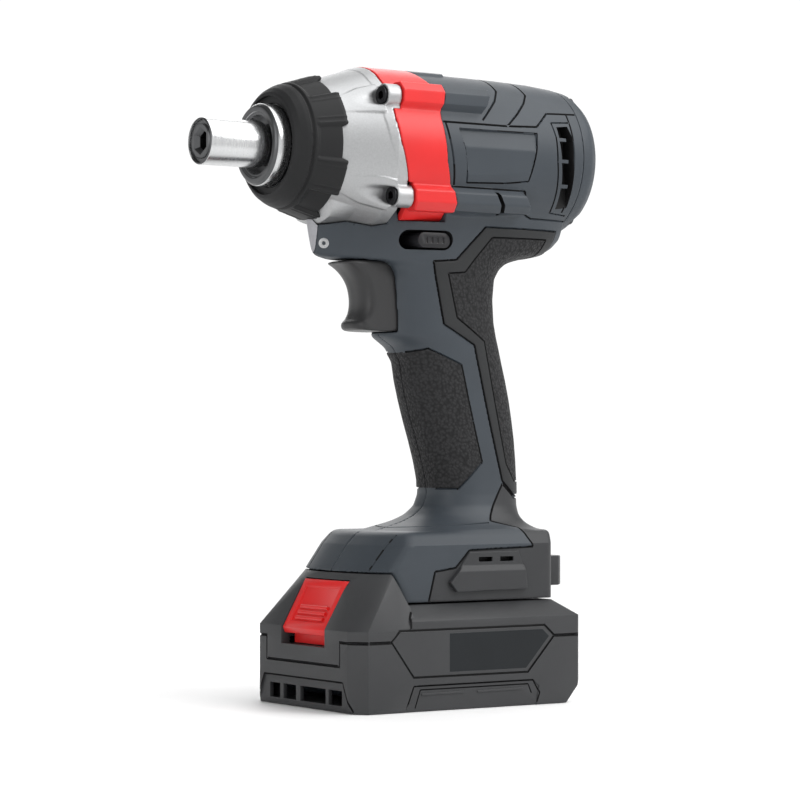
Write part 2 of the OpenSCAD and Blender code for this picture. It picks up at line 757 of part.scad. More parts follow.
// Fixed ring gear
module ring_gear() color("#8d9093") place()
  along_x() translate([0, 0, -6.2]) difference() {
    cylinder(r = ring_outer, h = 10.6);
    translate([0, 0, -1]) rotate(180 / ring_teeth) linear_extrude(14)
      polygon(gear_outline(ring_teeth, gear_m * (ring_teeth / 2 + 1.2),
                           gear_m * (ring_teeth / 2 - 0.85), -backlash));
  }

// Plate between gears and motor with the front bearing seat
module bearing_plate() color("#6d7073") place()
  difference() {
    turned([[pinion_r + 0.4, plate_x - 0.7], [plate_r, plate_x - 0.7], [plate_r, 10], [22, 10.4],
            [11, 13.6], [8.05, 13.6], [8.05, 8.6], [pinion_r + 0.4, 8.6]]);
    for (a = [0:60:300])
      translate([0, 0, axis_z]) rotate([a, 0, 0])
        translate([0, 0, 17]) rotate([0, 90, 0]) cylinder(r = 3, h = 40, center = true);
  }

// Motor

module pinion() color("#8a8d90") place()
  along_x() translate([0, 0, -7]) difference() {
    linear_extrude(13.6)
      polygon(gear_outline(sun_teeth, gear_m * (sun_teeth / 2 + 0.9),
                           gear_m * (sun_teeth / 2 - 1.2), backlash));
    translate([0, 0, -1]) cylinder(r = shaft_r + seat_gap, h = 16);
  }

module motor_shaft() color("#b7babc") place()
  turned([[0, -6.6], [shaft_r - 0.4, -6.6], [shaft_r, -6.2], [shaft_r, 61.2],
          [shaft_r - 0.4, 61.6], [0, 61.6]]);

// Laminated rotor with a magnet in each quarter
module rotor() color("#6f7275") place()
  difference() {
    turned([[shaft_r + seat_gap, 19], [rotor_r, 19], [rotor_r, 43], [shaft_r + seat_gap, 43]]);
    for (a = [0:90:270])
      translate([0, 0, axis_z]) rotate([a, 0, 0]) box([18, -7.2, magnet_r], [44, 7.2, magnet_r + 1.9]);
  }

module rotor_magnets() color("#9fa3a8") place()
  for (a = [0:90:270])
    translate([0, 0, axis_z]) rotate([a, 0, 0]) 
      box([19.4, -7.1, magnet_r + 0.1], [42.6, 7.1, magnet_r + 1.8]);

// Laminated stator with six poles
module stator() color("#54575a") place()
  along_x() translate([0, 0, 20]) difference() {
    cylinder(r = stator_r, h = 22);
    difference() {
      translate([0, 0, -1]) cylinder(r = yoke_r, h = 24);
      for (a = [0:60:300])
        rotate(a) translate([10, -3.2, -2]) cube([yoke_r - 9.4, 6.4, 26]);
      difference() {
        translate([0, 0, -2]) cylinder(r = shoe_r, h = 26);
        for (a = [30:60:330])
          rotate(a) translate([10, -1.4, -3]) cube([shoe_r - 7, 2.8, 28]);
      }
    }
    translate([0, 0, -1]) cylinder(r = rotor_r + 0.6, h = 24);
  }

// One copper coil round each pole
module windings() color("#b5693a") place()
  along_x() for (a = [0:60:300])
    rotate(a) difference() {
      translate([shoe_r + 0.3, -5.4, 17.2]) cube([yoke_r - shoe_r - 1.2, 10.8, 27.6]);
      translate([shoe_r, -3.3, 19.8]) cube([yoke_r, 6.6, 22.4]);
    }

module sensor_board() color("#2f5d3f") place()
  turned([[9, 15.7], [yoke_r + 0.2, 15.7], [yoke_r + 0.2, 17.1], [9, 17.1]]);

// Cooling fan behind the rotor
module cooling_fan() color("#3a3c3f") place()
  along_x() translate([0, 0, fan_x]) {
    difference() {
      union() {
        cylinder(r = 22, h = 1.6);
        cylinder(r = 6, h = 6.6);
        for (a = [0:30:330])
          rotate(a) translate([11, -0.6, 0.8]) rotate([0, 0, 14]) cube([11.5, 1.2, 5.8]);
      }
      translate([0, 0, -1]) cylinder(r = shaft_r + seat_gap, h = 12);
    }
  }

module bearing(x, outer, length) {
  turned([[shaft_r + run_gap, x], [outer, x], [outer, x + length], [shaft_r + run_gap, x + length]]);
}

module front_bearing() color("#c2c4c6") place() bearing(8.65, 8, 4.6);
module rear_bearing() color("#c2c4c6") place() bearing(57.5, 6, 4.2);

// Trigger and controls

// Scooped finger trigger
module trigger() color("#2a2b2d") place()
  difference() {
    union() {
      intersection() {
        prism(trigger_outline, trigger_w);
        hull() {
          box([-30, -trigger_w, 130], [-5, trigger_w, 180]);
          box([-36, -trigger_w + 2.6, 130], [-5, trigger_w - 2.6, 180]);
          box([-40, -trigger_w + 5.4, 130], [-5, trigger_w - 5.4, 180]);
        }
      }
      translate([trigger_rear - 0.5, 0, 152]) rotate([0, 90, 0]) cylinder(r = 2.4, h = 13.5);
    }
    box([-24, -trigger_w + 1.8, 146], [-5, trigger_w - 1.8, 149.2]);
    box([-24, -trigger_w + 1.8, 155], [-5, trigger_w - 1.8, 158]);
  }

module trigger_spring() color("#9a9d9f") place()
  translate([trigger_rear + 0.1, 0, 152]) rotate([0, 90, 0])
    coil(3.4, 0.4, 4, switch_x - trigger_rear - 0.2);

// Speed switch behind the trigger
module trigger_switch() color("#1f2022") place()
  difference() {
    union() {
      box([switch_x, -10, 141.8], [20, 10, 164.4]);
      box([3, -6, 164.3], [14, 6, 168.6]);
    }
    translate([switch_x - 1, 0, 152]) rotate([0, 90, 0])
      cylinder(r = 2.4 + slide_gap, h = trigger_travel + 7.5);
  }

// Push-through forward and reverse bar
module direction_selector() color("#1a1b1c") place()
  difference() {
    oblong_y(-13.4, 1.2, 172.4, 178.2, 15.6 + selector_travel);
    box([-8.4, -3.4, 172], [-4, 3.4, 175]);
    for (x = [-10, -7.5, -5, -2.5])
      both_sides() box([x, -30, 174.2], [x + 0.9, -15.2 - selector_travel, 176.4]);
  }

// Lamp lens at the tip of the chin
module lamp_lens() color("#c9c9cc") place()
  intersection() {
    slab([[chin_x - 2.6, -1.6], [chin_x - 0.1, -2.9], [chin_x - 0.1, 2.9], [chin_x - 2.6, 1.6]],
         160, 200);
    prism([[chin_x - 0.1, 169.8], [chin_x - 0.7, 169.8], [chin_x - 2.2, 179], [chin_x - 2.4, 181],
           [chin_x - 0.1, 181]]);
  }

module lamp_board() color("#2f5d3f") place()
  box([nose_pin_at[0] + 1.9, -2, 170.2], [nose_pin_at[0] + 3.1, 2, 176.6]);

// Cross pin in the chin
module nose_pin() color("#c4c6c8") place()
  translate([nose_pin_at[0], 0, nose_pin_at[1]]) rotate([90, 0, 0])
    cylinder(r = 1.55, h = 8.6, center = true);

// Rubber grips, moulded into pockets of the housing

module front_grip() color("#1d1d1e") place()
  intersection() {
    difference() {
      grip_form(0.35);
      grip_form(-rubber + seat_gap, floor_n);
    }
    grown_prism(front_grip_outline, -0.2);
  }

module rear_grip() color("#1d1d1e") place()
  intersection() {
    $fn = shell_fn;
    difference() {
      union() {
        grip_form(0.35);
        head_form(0.35);
      }
      grip_form(-rubber + seat_gap, floor_n);
      head_form(-rubber + seat_gap);
      rod(head_r - 1.5, cap_x + 0.1, 80);
    }
    grown_prism(rear_grip_outline, -0.2);
  }

// Foot pieces

// Block with two slots on each side of the foot
slot_block = [[-8, 46.6], [-2, 52.8], [26.6, 52.6], [27.6, 43.4], [-5, 43]];
slot_ledge = [[-3, 52], [1.5, 58], [24.2, 58], [26.4, 52]];

// Dark wrap round the back of the foot
module foot_guard() color("#34373a") place()
  difference() {
    union() {
      intersection() {
        difference() {
          union() {
            grip_form();
            foot_form();
          }
          grip_form(-1.35, floor_n);
          foot_form(-1.35);
        }
        grown_prism(guard_outline, -0.15);
      }
      both_sides() translate([0, -foot_side, 0]) difference() {
        union() {
          prism(slot_block, 1.2);
          prism(slot_ledge, 0.6);
        }
        for (x = [5.6, 15.4]) box([x, -4, 54.1], [x + 6.2, 0.6, 55.9]);
      }
    }
    rail_slot();
    box([30, -9.2, 44.8], [60, 9.2, 53.7]);
    box([-60, -40, 30], [90, 40, foot_low]);
  }

// Lug for a wrist strap
module strap_lug() color("#2a2c2e") place()
  difference() {
    union() {
      box([foot_rear - 5, -8.9, 45.2], [foot_rear + 4, 8.9, 53.4]);
      translate([foot_rear + 1.3, 0, 43.4]) linear_extrude(11.4)
        polygon([[0, -15.5], [9.6, -15.5], [13, -12], [13, 12], [9.6, 15.5], [0, 15.5]]);
    }
    box([foot_rear + 4.4, -9, 40], [foot_rear + 10.4, 9, 60]);
  }

// Potted speed controller in the foot
module control_module() color("#202a24") place()
  box([-18, -17, room_floor + 0.1], [1, 17, 58.6]);

module terminal_block() color("#2b2c2e") place()
  difference() {
    union() {
      box([4, -16, foot_floor + 0.1], [26, 16, 52]);
      box([4, -18, room_floor + 0.1], [28, 18, 54]);
    }
    for (y = [-10.5, -3.5, 3.5, 10.5])
      box([5.5, y - 0.65, 47], [21, y + 0.65, 53]);
  }

// Copper blades that reach into the pack
module tool_blades() color("#b98a4a") place()
  for (y = [-10.5, -3.5, 3.5, 10.5])
    box([6, y - 0.5, 42.4], [20.6, y + 0.5, 52.9]);

// Battery pack

// Cut corners of the pack in plan, front and rear
corner_x = 5;
corner_y = 6.5;
rear_corner = 1.6;

function pack_plan(d) =
  let (cut = max(rear_corner, 0.4 - d))
  [[pack_front - d, corner_y - pack_half], [pack_front + corner_x - d * 0.6, -pack_half - d],
   [pack_rear - cut, -pack_half - d], [pack_rear + d, cut - pack_half],
   [pack_rear + d, pack_half - cut], [pack_rear - cut, pack_half + d],
   [pack_front + corner_x - d * 0.6, pack_half + d], [pack_front - d, pack_half - corner_y]];

// Side panel of the lower case, a long hexagon
side_hexagon = [[-38, 25.7], [-34.7, 30.4], [31.6, 30.4], [36.1, 25.5], [24.1, 12.6], [-28.4, 12.6]];
low_panel = [[-32.6, -1], [-26.5, 9.7], [26, 9.7], [29, 7], [27.5, -1]];

// Snap hooks that join the two cases
hook_at = [-30, 28];
hook_y = pack_half - pack_wall - 0.1;

module pack_lower() color("#404143") place()
  difference() {
    intersection() {
      slab(pack_plan(0), 0, seam_z);
      prism([[pack_front, 60], [pack_front, 3], [pack_front + 1.5, 0], [pack_rear - 7, 0],
             [pack_rear, 8.3], [pack_rear, 60]]);
    }
    slab(pack_plan(-pack_wall), pack_wall, 60);
    box([-60, -25.6, 16.9], [-49, 25.6, 60]);
    both_sides() translate([0, -pack_half, 0]) prism(side_hexagon, 0.5);
    both_sides() translate([0, -pack_half, 0]) prism(low_panel, 0.4);
    translate([pack_front, 0, 0]) rotate([90, 0, 90])
      translate([0, 0, -1]) linear_extrude(1.6)
        polygon([[-27.5, 10.8], [27.5, 10.8], [33, -1], [-33, -1]]);
    for (v = [[-26.4, -17.2], [-15.2, 2.6], [5.6, 14.6], [17, 24.4]])
      box([-60, v[0], 2.4], [-49, v[1], 8]);
    for (x = hook_at) both_sides()
      box([x - 4.2, -hook_y - 0.9, 17.6], [x + 4.2, -hook_y + 1.2, 20.4]);
  }

// Top of the pack under the foot
deck_plan = let (half = pack_half - 7.5)
  [[pack_front + 9, -half], [pack_rear - 9, -half], [pack_rear - 6.5, -half + 3],
   [pack_rear - 6.5, half - 3], [pack_rear - 9, half], [pack_front + 9, half]];

// Front hump, wide at the seam and bowed at the top
module hump_form() {
  hull() {
    slab([[pack_front, corner_y + 0.2 - pack_half], [pack_front + corner_x - 0.1, 0.1 - pack_half],
          [-26, 0.1 - pack_half], [-26, pack_half - 0.1],
          [pack_front + corner_x - 0.1, pack_half - 0.1], [pack_front, pack_half - corner_y - 0.2]],
         slope_low[1], slope_low[1] + 0.1);
    slab([[slope_top[0], -9], [-38.6, -20], [-33.4, -29.4], [-32, -30.2], [-30.5, -30.2],
          [-30.5, 30.2], [-32, 30.2], [-33.4, 29.4], [-38.6, 20], [slope_top[0], 9]],
         hump_z - 0.1, hump_z);
  }
}

// Upper case with shoulders, rails and the latch pocket
module pack_upper() color("#3d3e40") place() {
  pack_inside();
  pack_shell();
}

module pack_shell()
  difference() {
    union() {
      slab(pack_plan(0), seam_z + 0.1, slope_low[1] + 0.1);
      intersection() {
        union() {
          slab(pack_plan(0), seam_z + 0.1, 33);
          hull() {
            slab(pack_plan(0), 33, 33.1);
            slab(deck_plan, deck_z - 0.1, deck_z);
          }
        }
        box([-29.4, -60, 0], [90, 60, 60]);
      }
      difference() {
        hump_form();
        prism([[-33, 60], [-33, hump_z], [-31.2, 46.4], [-28.2, deck_z], [-10, deck_z], [-10, 60]]);
      }
      box([pack_front, -25.4, 17], [-49.2, 25.4, seam_z + 1]);
      box([-31, -rail_in + slide_gap, deck_z - 1], [22, rail_in - slide_gap, rail_top]);
      box([-26, -rail_in - 4.2, rail_low + 0.4], [22, rail_in + 4.2, rail_top]);
    }
    difference() {
      hull() {
        slab(pack_plan(-pack_wall), 20, 31.6);
        slab([[-40, -27.4], [39, -27.4], [39, 27.4], [-40, 27.4]], 35, deck_z - 2.4);
      }
      box([-60, -18, 17], [-32, 18, 60]);
      box([-60, -25.4, 17], [-49.2, 25.4, 30]);
    }
    latch_room();
    both_sides() translate([0, -pack_half, 0]) prism(side_hexagon, 0.5);
    for (y = [-10.5, -3.5, 3.5, 10.5])
      box([3.5, y - 0.9, 40.5], [30, y + 0.9, 60]);
    box([-28, -16, 38], [-4, 16, 45.4]);
    box([-26, -15, 34], [21, 15, 41]);
  }

// Room the button moves in
module latch_room() {
  box([-60, -button_w - slide_gap, shelf_z], [-40, button_w + slide_gap, 47.8]);
  box([-46, -button_w - slide_gap, 20], [-34.8, button_w + slide_gap, 46]);
  box([-39.4, -8.3, 40], [-34.8, 8.3, 60]);
}

// Shelf under the latch spring and the snap hooks, part of the upper case
module pack_inside() {
  difference() {
    box([-49.6, -16.5, shelf_z - 0.6], [-34, 16.5, shelf_z]);
    box([tongue_x - slide_gap, -13, shelf_z - 2], [tongue_x + 2.2 + slide_gap, 13, shelf_z + 1]);
  }
  for (x = hook_at)
    both_sides() {
      box([x - 4, -hook_y, 18], [x + 4, 1 - hook_y, 32]);
      box([x - 4, -hook_y - 0.7, 18], [x + 4, 1 - hook_y, 20]);
    }
}

// Pull-down latch button with a finger scoop
module release_button() color("#d92b2b") place()
  difference() {
    union() {
      prism([[pack_front + 1.4, button_low], [pack_front + 0.4, button_low + 2.2], [-42.6, 47.3],
             [-40.4, 47.3], [-40.4, 45.6], [-36.6, 45.6], [-36.6, button_low]], button_w);
      box([-38.9, -7.9, 44], [-36.6, 7.9, 53.6]);
      box([tongue_x, -12.5, shelf_z + 0.3], [tongue_x + 2.2, 12.5, button_low + 1]);
    }
    prism([[-54, 32.6], [-50.4, 31.8], [-43.6, 44.4], [-46, 46]], button_w - 3.4);
    box([-45, -5.2, 20], [-37.6, 5.2, 39.8]);
  }

module button_spring() color("#9a9d9f") place()
  translate([-41.2, 0, shelf_z + 0.05]) coil(2.6, 0.45, 5, 39.8 - shelf_z - 0.1);

// Five cells in a row
module cell_pack() color("#2f6f86") place()
  for (i = [-2:2])
    translate([cell_mid + i * cell_step, 0, 13.2]) rotate([90, 0, 0])
      cylinder(d = cell_d, h = cell_l, center = true);

// End frames that hold the cells
module cell_holder() color("#26272a") place()
  for (side = [-1, 1])
    difference() {
      translate([cell_mid, side * (cell_l / 2 - 4.5), 0])
        box([-45.9, -4, pack_wall + 0.05], [46.4, 4, 24.4]);
      for (i = [-2:2])
        translate([cell_mid + i * cell_step, 0, 13.2]) rotate([90, 0, 0])
          cylinder(d = cell_d + 2 * seat_gap, h = 90, center = true);
    }

// Welded strips across the cell ends
module cell_links() color("#b9bcc0") place()
  for (side = [-1, 1], i = [-2:1])
    translate([cell_mid + i * cell_step, side * (cell_l / 2 + 0.25), 13.2])
      box([-4, -0.2, -3], [13, 0.2, 3]);

module pack_board() color("#2f5d3f") place()
  box([-25.4, -14.6, 34.8], [20.4, 14.6, 36.4]);

// Spring contacts that grip the tool's blades
module pack_contacts() color("#b98a4a") place()
  for (y = [-10.5, -3.5, 3.5, 10.5], side = [-1, 1])
    box([6, y + side * 0.7 - 0.1, 36.4], [19, y + side * 0.7 + 0.1, 46.6]);

// Drawing

left_housing();
right_housing();
rear_cap();
rear_cap_screws();
housing_screws();
hammer_case();
case_screws();
accent_band();
nose_bumper();
nose_bush();
anvil();
chuck_sleeve();
sleeve_spring();
sleeve_ring();
bit_ball();
hammer();
hammer_spring();
cam_carrier();
cam_balls();
planet_pins();
planet_a();
planet_b();
planet_c();
ring_gear();
bearing_plate();
pinion();
motor_shaft();
rotor();
rotor_magnets();
stator();
windings();
sensor_board();
cooling_fan();
front_bearing();
rear_bearing();
trigger();
trigger_spring();
trigger_switch();
direction_selector();
lamp_lens();
lamp_board();
nose_pin();
front_grip();
rear_grip();
foot_guard();
strap_lug();
control_module();
terminal_block();
tool_blades();
pack_lower();
pack_upper();
release_button();
button_spring();
cell_pack();
cell_holder();
cell_links();
pack_board();
pack_contacts();
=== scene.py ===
# %% [markdown]
# # A cordless impact driver
#
# The tool stands on its battery pack and points its bit sleeve to the left. The works inside,
# the battery and every pin and screw arrive as finished solids, and this lesson gives them
# their finishes. The moulded outer shells are cast again here at a finer grain, so that
# their blends, panel lines and rubber grips read as they do on the real tool.

import json
import math

import bmesh
import bpy
import numpy as np
from mathutils import Matrix, Vector
from mathutils.bvhtree import BVHTree

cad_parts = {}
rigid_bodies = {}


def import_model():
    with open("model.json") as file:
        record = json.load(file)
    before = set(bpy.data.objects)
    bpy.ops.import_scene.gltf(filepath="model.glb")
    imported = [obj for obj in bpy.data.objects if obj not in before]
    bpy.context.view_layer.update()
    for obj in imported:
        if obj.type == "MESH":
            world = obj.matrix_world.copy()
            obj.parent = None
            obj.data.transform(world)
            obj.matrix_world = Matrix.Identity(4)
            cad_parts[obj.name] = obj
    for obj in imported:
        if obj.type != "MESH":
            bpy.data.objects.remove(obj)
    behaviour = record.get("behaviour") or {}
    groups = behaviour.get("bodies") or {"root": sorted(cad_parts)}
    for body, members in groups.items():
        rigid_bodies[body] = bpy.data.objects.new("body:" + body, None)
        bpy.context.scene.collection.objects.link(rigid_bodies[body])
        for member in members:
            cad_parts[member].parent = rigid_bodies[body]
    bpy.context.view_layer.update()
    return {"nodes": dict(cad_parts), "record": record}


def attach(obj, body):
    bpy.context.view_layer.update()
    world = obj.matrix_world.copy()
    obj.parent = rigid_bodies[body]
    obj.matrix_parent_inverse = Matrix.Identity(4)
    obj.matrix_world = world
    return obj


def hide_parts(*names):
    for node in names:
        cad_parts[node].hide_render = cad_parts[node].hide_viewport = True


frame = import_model()
print("pieces in the frame:", len(frame["nodes"]))

# %% [markdown]
# ## One set of stations
#
# Shapes below are written in millimetres along the tool: x from nose to tail, z up from the
# bench, `up` as height over the drive axis. The frame's own x is shifted, so that the nose and
# the tail lie equally far from its origin. Two helpers turn stations into metres and back.

# %% Stations of the tool
AXIS_Z = 209.2
HEAD_R = 30.9
SHIFT_X = 15.0
CAP_SEAM_X = 57.0
FOOT_LOW = 39.6
FOOT_SIDE = 30.5


def to_metres(points):
    """Stations in millimetres to the frame's metres."""
    return (np.asarray(points, float) + [SHIFT_X, 0, 0]) / 1000


def to_stations(points):
    """The frame's metres back to stations."""
    return np.asarray(points, float) * 1000 - [SHIFT_X, 0, 0]


print("drive axis at", to_metres([[0, 0, AXIS_Z]])[0])

# %% [markdown]
# ## Casting a moulded shell
#
# A moulded part has no hard corners: its forms run into each other over a radius. Meshing and
# bevelling every corner by hand is slow, so the shells are cast from a distance field instead:
# a function that says how far a point is outside the form. Two forms blend by a soft minimum,
# and a cut with a radius is a soft maximum. The mesh is then found where the field is nought,
# one vertex for each small cube that the surface crosses, and each vertex is moved onto it.

# %% Soft joins and cuts
def soft_max(a, b, radius):
    near = np.maximum(radius - np.abs(a - b), 0) / radius
    return np.maximum(a, b) + near * near * radius / 4


def soft_min(a, b, radius):
    return -soft_max(-a, -b, radius)


def between(value, low, high):
    """Distance outside a slab, negative inside it."""
    return np.maximum(low - value, value - high)


# %% Cast a mesh from a distance field
CUBE_CORNERS = [(i, j, k) for i in (0, 1) for j in (0, 1) for k in (0, 1)]
CUBE_EDGES = [(a, b) for a in range(8) for b in range(a + 1, 8)
              if sum(p != q for p, q in zip(CUBE_CORNERS[a], CUBE_CORNERS[b])) == 1]
SLOPE_STEP = 0.02
LEAST_SLOPE = 0.2
SETTLE_TURNS = 2
SETTLE_REACH = 0.4


def cast_surface(field, low, high, step):
    """Vertices in millimetres and quads of the field's zero surface inside a box."""
    axes = [np.arange(a, b + step, step, dtype=np.float32) for a, b in zip(low, high)]
    grid = field(axes[0][:, None, None], axes[1][None, :, None], axes[2][None, None, :])
    grid = np.broadcast_to(grid, [len(a) for a in axes]).astype(np.float32)
    inside = grid < 0
    shape = [n - 1 for n in grid.shape]
    corner = [tuple(slice(c, c + n) for c, n in zip(cc, shape)) for cc in CUBE_CORNERS]
    count = sum(inside[c].astype(np.int8) for c in corner)
    cells = np.argwhere((count > 0) & (count < 8))
    value = np.stack([grid[tuple((cells + c).T)] for c in CUBE_CORNERS], 1)
    total = np.zeros((len(cells), 3))
    hits = np.zeros(len(cells))
    for a, b in CUBE_EDGES:
        crossed = (value[:, a] < 0) != (value[:, b] < 0)
        gap = np.where(crossed, value[:, a] - value[:, b], 1)
        t = np.where(crossed, value[:, a] / gap, 0)[:, None]
        start, run = np.array(CUBE_CORNERS[a]), np.subtract(CUBE_CORNERS[b], CUBE_CORNERS[a])
        total += crossed[:, None] * (start + t * run)
        hits += crossed
    points = np.array([a[0] for a in axes]) + step * (cells + total / hits[:, None])
    number = np.full(shape, -1, np.int32)
    number[tuple(cells.T)] = np.arange(len(cells))
    quads = []
    for axis in range(3):
        u, v = (axis + 1) % 3, (axis + 2) % 3
        ahead = np.roll(inside, -1, axis)
        change = inside != ahead
        change[tuple(slice(-1, None) if i == axis else slice(None) for i in range(3))] = False
        where = np.argwhere(change)
        where = where[(where[:, u] > 0) & (where[:, v] > 0)
                      & (where[:, u] < shape[u]) & (where[:, v] < shape[v])]
        out = inside[tuple(where.T)]
        ring = []
        for du, dv in ((1, 1), (0, 1), (0, 0), (1, 0)):
            cell = where.copy()
            cell[:, u] -= du
            cell[:, v] -= dv
            ring.append(number[tuple(cell.T)])
        ring = np.stack(ring, 1)
        ring[~out] = ring[~out][:, ::-1]
        quads.append(ring)
    quads = np.concatenate(quads)
    return settle(field, points), quads[(quads >= 0).all(1)]


def slope_of(field, p):
    """Outward direction of the field at points."""
    h = SLOPE_STEP
    x, y, z = p.T
    steps = [field(x + h, y, z) - field(x - h, y, z), field(x, y + h, z) - field(x, y - h, z),
             field(x, y, z + h) - field(x, y, z - h)]
    return np.stack(steps, 1) / (2 * h)


def settle(field, p):
    """Moves points onto the zero surface."""
    for _ in range(SETTLE_TURNS):
        g = slope_of(field, p)
        size = np.maximum((g * g).sum(1), LEAST_SLOPE)
        move = (field(*p.T) / size)[:, None] * g
        p = p - np.clip(move, -SETTLE_REACH, SETTLE_REACH)
    return p


def coat_with(obj, materials):
    obj.data.materials.clear()
    for m in materials:
        obj.data.materials.append(m)


def crease(obj, degrees):
    """Keeps the edges crisp that turn by more than this."""
    obj.data.set_sharp_from_angle(angle=math.radians(degrees))


def mesh_object(name, points, faces, materials=(), smooth=True):
    """New object from stations in millimetres."""
    mesh = bpy.data.meshes.new(name)
    mesh.from_pydata(to_metres(points).tolist(), [], [list(map(int, f)) for f in faces])
    mesh.validate()
    mesh.polygons.foreach_set("use_smooth", [smooth] * len(mesh.polygons))
    obj = bpy.data.objects.new(name, mesh)
    bpy.context.collection.objects.link(obj)
    coat_with(obj, materials)
    return obj


# %% [markdown]
# ## The camera and the light
#
# The tool was seen from its left front, from a little below half its height, through a long
# lens. Looking nearly level keeps the upright lines upright. Four large soft lights give the
# broad, calm highlights of a product shot. The world is white near the floor and dim above,
# like a paper sweep in a studio, so the ground is white while the tool keeps its contrast.

# %% Camera and lights
VIEW_TURN = math.radians(33.68)
VIEW_RISE = math.radians(0.80)
camera_data = bpy.data.cameras.new("camera")
camera_data.lens = 129.2
camera_data.sensor_width = 36
camera_data.clip_end = 20
camera = bpy.data.objects.new("camera", camera_data)
camera.location = (-0.6026, -0.9128, 0.0998)
look = Vector((math.sin(VIEW_TURN), math.cos(VIEW_TURN), math.tan(VIEW_RISE)))
camera.rotation_euler = look.to_track_quat("-Z", "Y").to_euler()
bpy.context.collection.objects.link(camera)
bpy.context.scene.camera = camera


def soft_light(name, place, aim, size, power):
    data = bpy.data.lights.new(name, "AREA")
    data.shape = "RECTANGLE"
    data.size, data.size_y = size
    data.energy = power
    lamp = bpy.data.objects.new(name, data)
    lamp.location = place
    lamp.rotation_euler = (Vector(aim) - Vector(place)).to_track_quat("-Z", "Y").to_euler()
    bpy.context.collection.objects.link(lamp)


soft_light("top_softbox", (0.3, -0.3, 1.05), (0, 0, 0.15), (1.5, 1.3), 15)
soft_light("front_softbox", (-1.05, -0.45, 0.5), (0, 0, 0.14), (0.5, 1.0), 3.4)
soft_light("side_softbox", (0.75, -0.95, 0.85), (0, 0, 0.16), (0.6, 0.6), 6.5)
soft_light("rear_softbox", (0.5, 0.9, 0.7), (0, 0, 0.15), (0.8, 0.8), 4.5)

# %% A white sweep behind, a dim room above
world = bpy.data.worlds.new("studio")
bpy.context.scene.world = world
world.use_nodes = True
sky = world.node_tree
way = sky.nodes.new("ShaderNodeTexCoord")
part_up = sky.nodes.new("ShaderNodeSeparateXYZ")
fade = sky.nodes.new("ShaderNodeMapRange")
for end, value in (("From Min", 0.155), ("From Max", 0.38), ("To Min", 1.05), ("To Max", 0.22)):
    fade.inputs[end].default_value = value
sky.links.new(way.outputs["Generated"], part_up.inputs["Vector"])
sky.links.new(part_up.outputs["Z"], fade.inputs["Value"])
sky.links.new(fade.outputs["Result"], sky.nodes["Background"].inputs["Strength"])
sky.nodes["Background"].inputs["Color"].default_value = (1, 1, 1, 1)
bpy.context.scene.view_settings.view_transform = "Standard"

# %% [markdown]
# ## Finishes
#
# Moulded shells leave a spark-eroded tool, so they carry a grain finer than half a millimetre
# that breaks up the gloss. The grain is noise in the piece's own coordinates, never an
# image, and it drives the bump, a little of the roughness and a very little of the colour.

# %% Material helpers
def add_node(tree, kind, **values):
    """A new node with some of its sockets set."""
    node = tree.nodes.new("ShaderNode" + kind)
    for socket, value in values.items():
        node.inputs[socket.replace("_", " ")].default_value = value
    return node


def node_material(name):
    m = bpy.data.materials.new(name)
    m.use_nodes = True
    place = add_node(m.node_tree, "TexCoord")
    return m, m.node_tree, m.node_tree.nodes["Principled BSDF"], place.outputs["Object"]


def noise(tree, place, per_metre, detail=2.0, rough=0.5):
    n = add_node(tree, "TexNoise", Scale=per_metre, Detail=detail, Roughness=rough)
    tree.links.new(place, n.inputs["Vector"])
    return n.outputs["Fac"]


def spread(tree, value, low, high):
    """Maps a 0 to 1 value onto a range."""
    r = add_node(tree, "MapRange", To_Min=low, To_Max=high)
    tree.links.new(value, r.inputs["Value"])
    return r.outputs["Result"]


def tint(tree, value, dark, light):
    """Maps a value onto the run between two colours."""
    ramp = add_node(tree, "ValToRGB")
    for stop, at, colour in zip(ramp.color_ramp.elements, (0.3, 0.7), (dark, light)):
        stop.position = at
        stop.color = (*colour, 1)
    tree.links.new(value, ramp.inputs["Fac"])
    return ramp.outputs["Color"]


def bump(tree, shader, height, strength, distance):
    b = add_node(tree, "Bump", Strength=strength, Distance=distance)
    tree.links.new(height, b.inputs["Height"])
    tree.links.new(b.outputs["Normal"], shader.inputs["Normal"])


def around(colour, share):
    return [c * (1 - share) for c in colour], [min(1, c * (1 + share)) for c in colour]


def moulded(name, colour, rough=(0.42, 0.54), grain=2600, depth=0.00006, vary=0.06, shine=0.32):
    """Spark-grained moulded plastic."""
    m, tree, shader, place = node_material(name)
    fine = noise(tree, place, grain, 2)
    broad = noise(tree, place, 60, 3)
    tree.links.new(tint(tree, broad, *around(colour, vary)), shader.inputs["Base Color"])
    tree.links.new(spread(tree, fine, *rough), shader.inputs["Roughness"])
    shader.inputs["Specular IOR Level"].default_value = shine
    bump(tree, shader, fine, 0.35, depth)
    return m


def metal(name, colour, rough, grain, depth, stretch=(1, 1, 1)):
    """Metal with a worked surface; stretch draws the marks out along an axis."""
    m, tree, shader, place = node_material(name)
    mapping = add_node(tree, "Mapping", Scale=stretch)
    tree.links.new(place, mapping.inputs["Vector"])
    marks = noise(tree, mapping.outputs["Vector"], grain, 4, 0.6)
    shader.inputs["Metallic"].default_value = 1
    tree.links.new(tint(tree, marks, *around(colour, 0.07)), shader.inputs["Base Color"])
    tree.links.new(spread(tree, marks, *rough), shader.inputs["Roughness"])
    bump(tree, shader, marks, 0.3, depth)
    return m


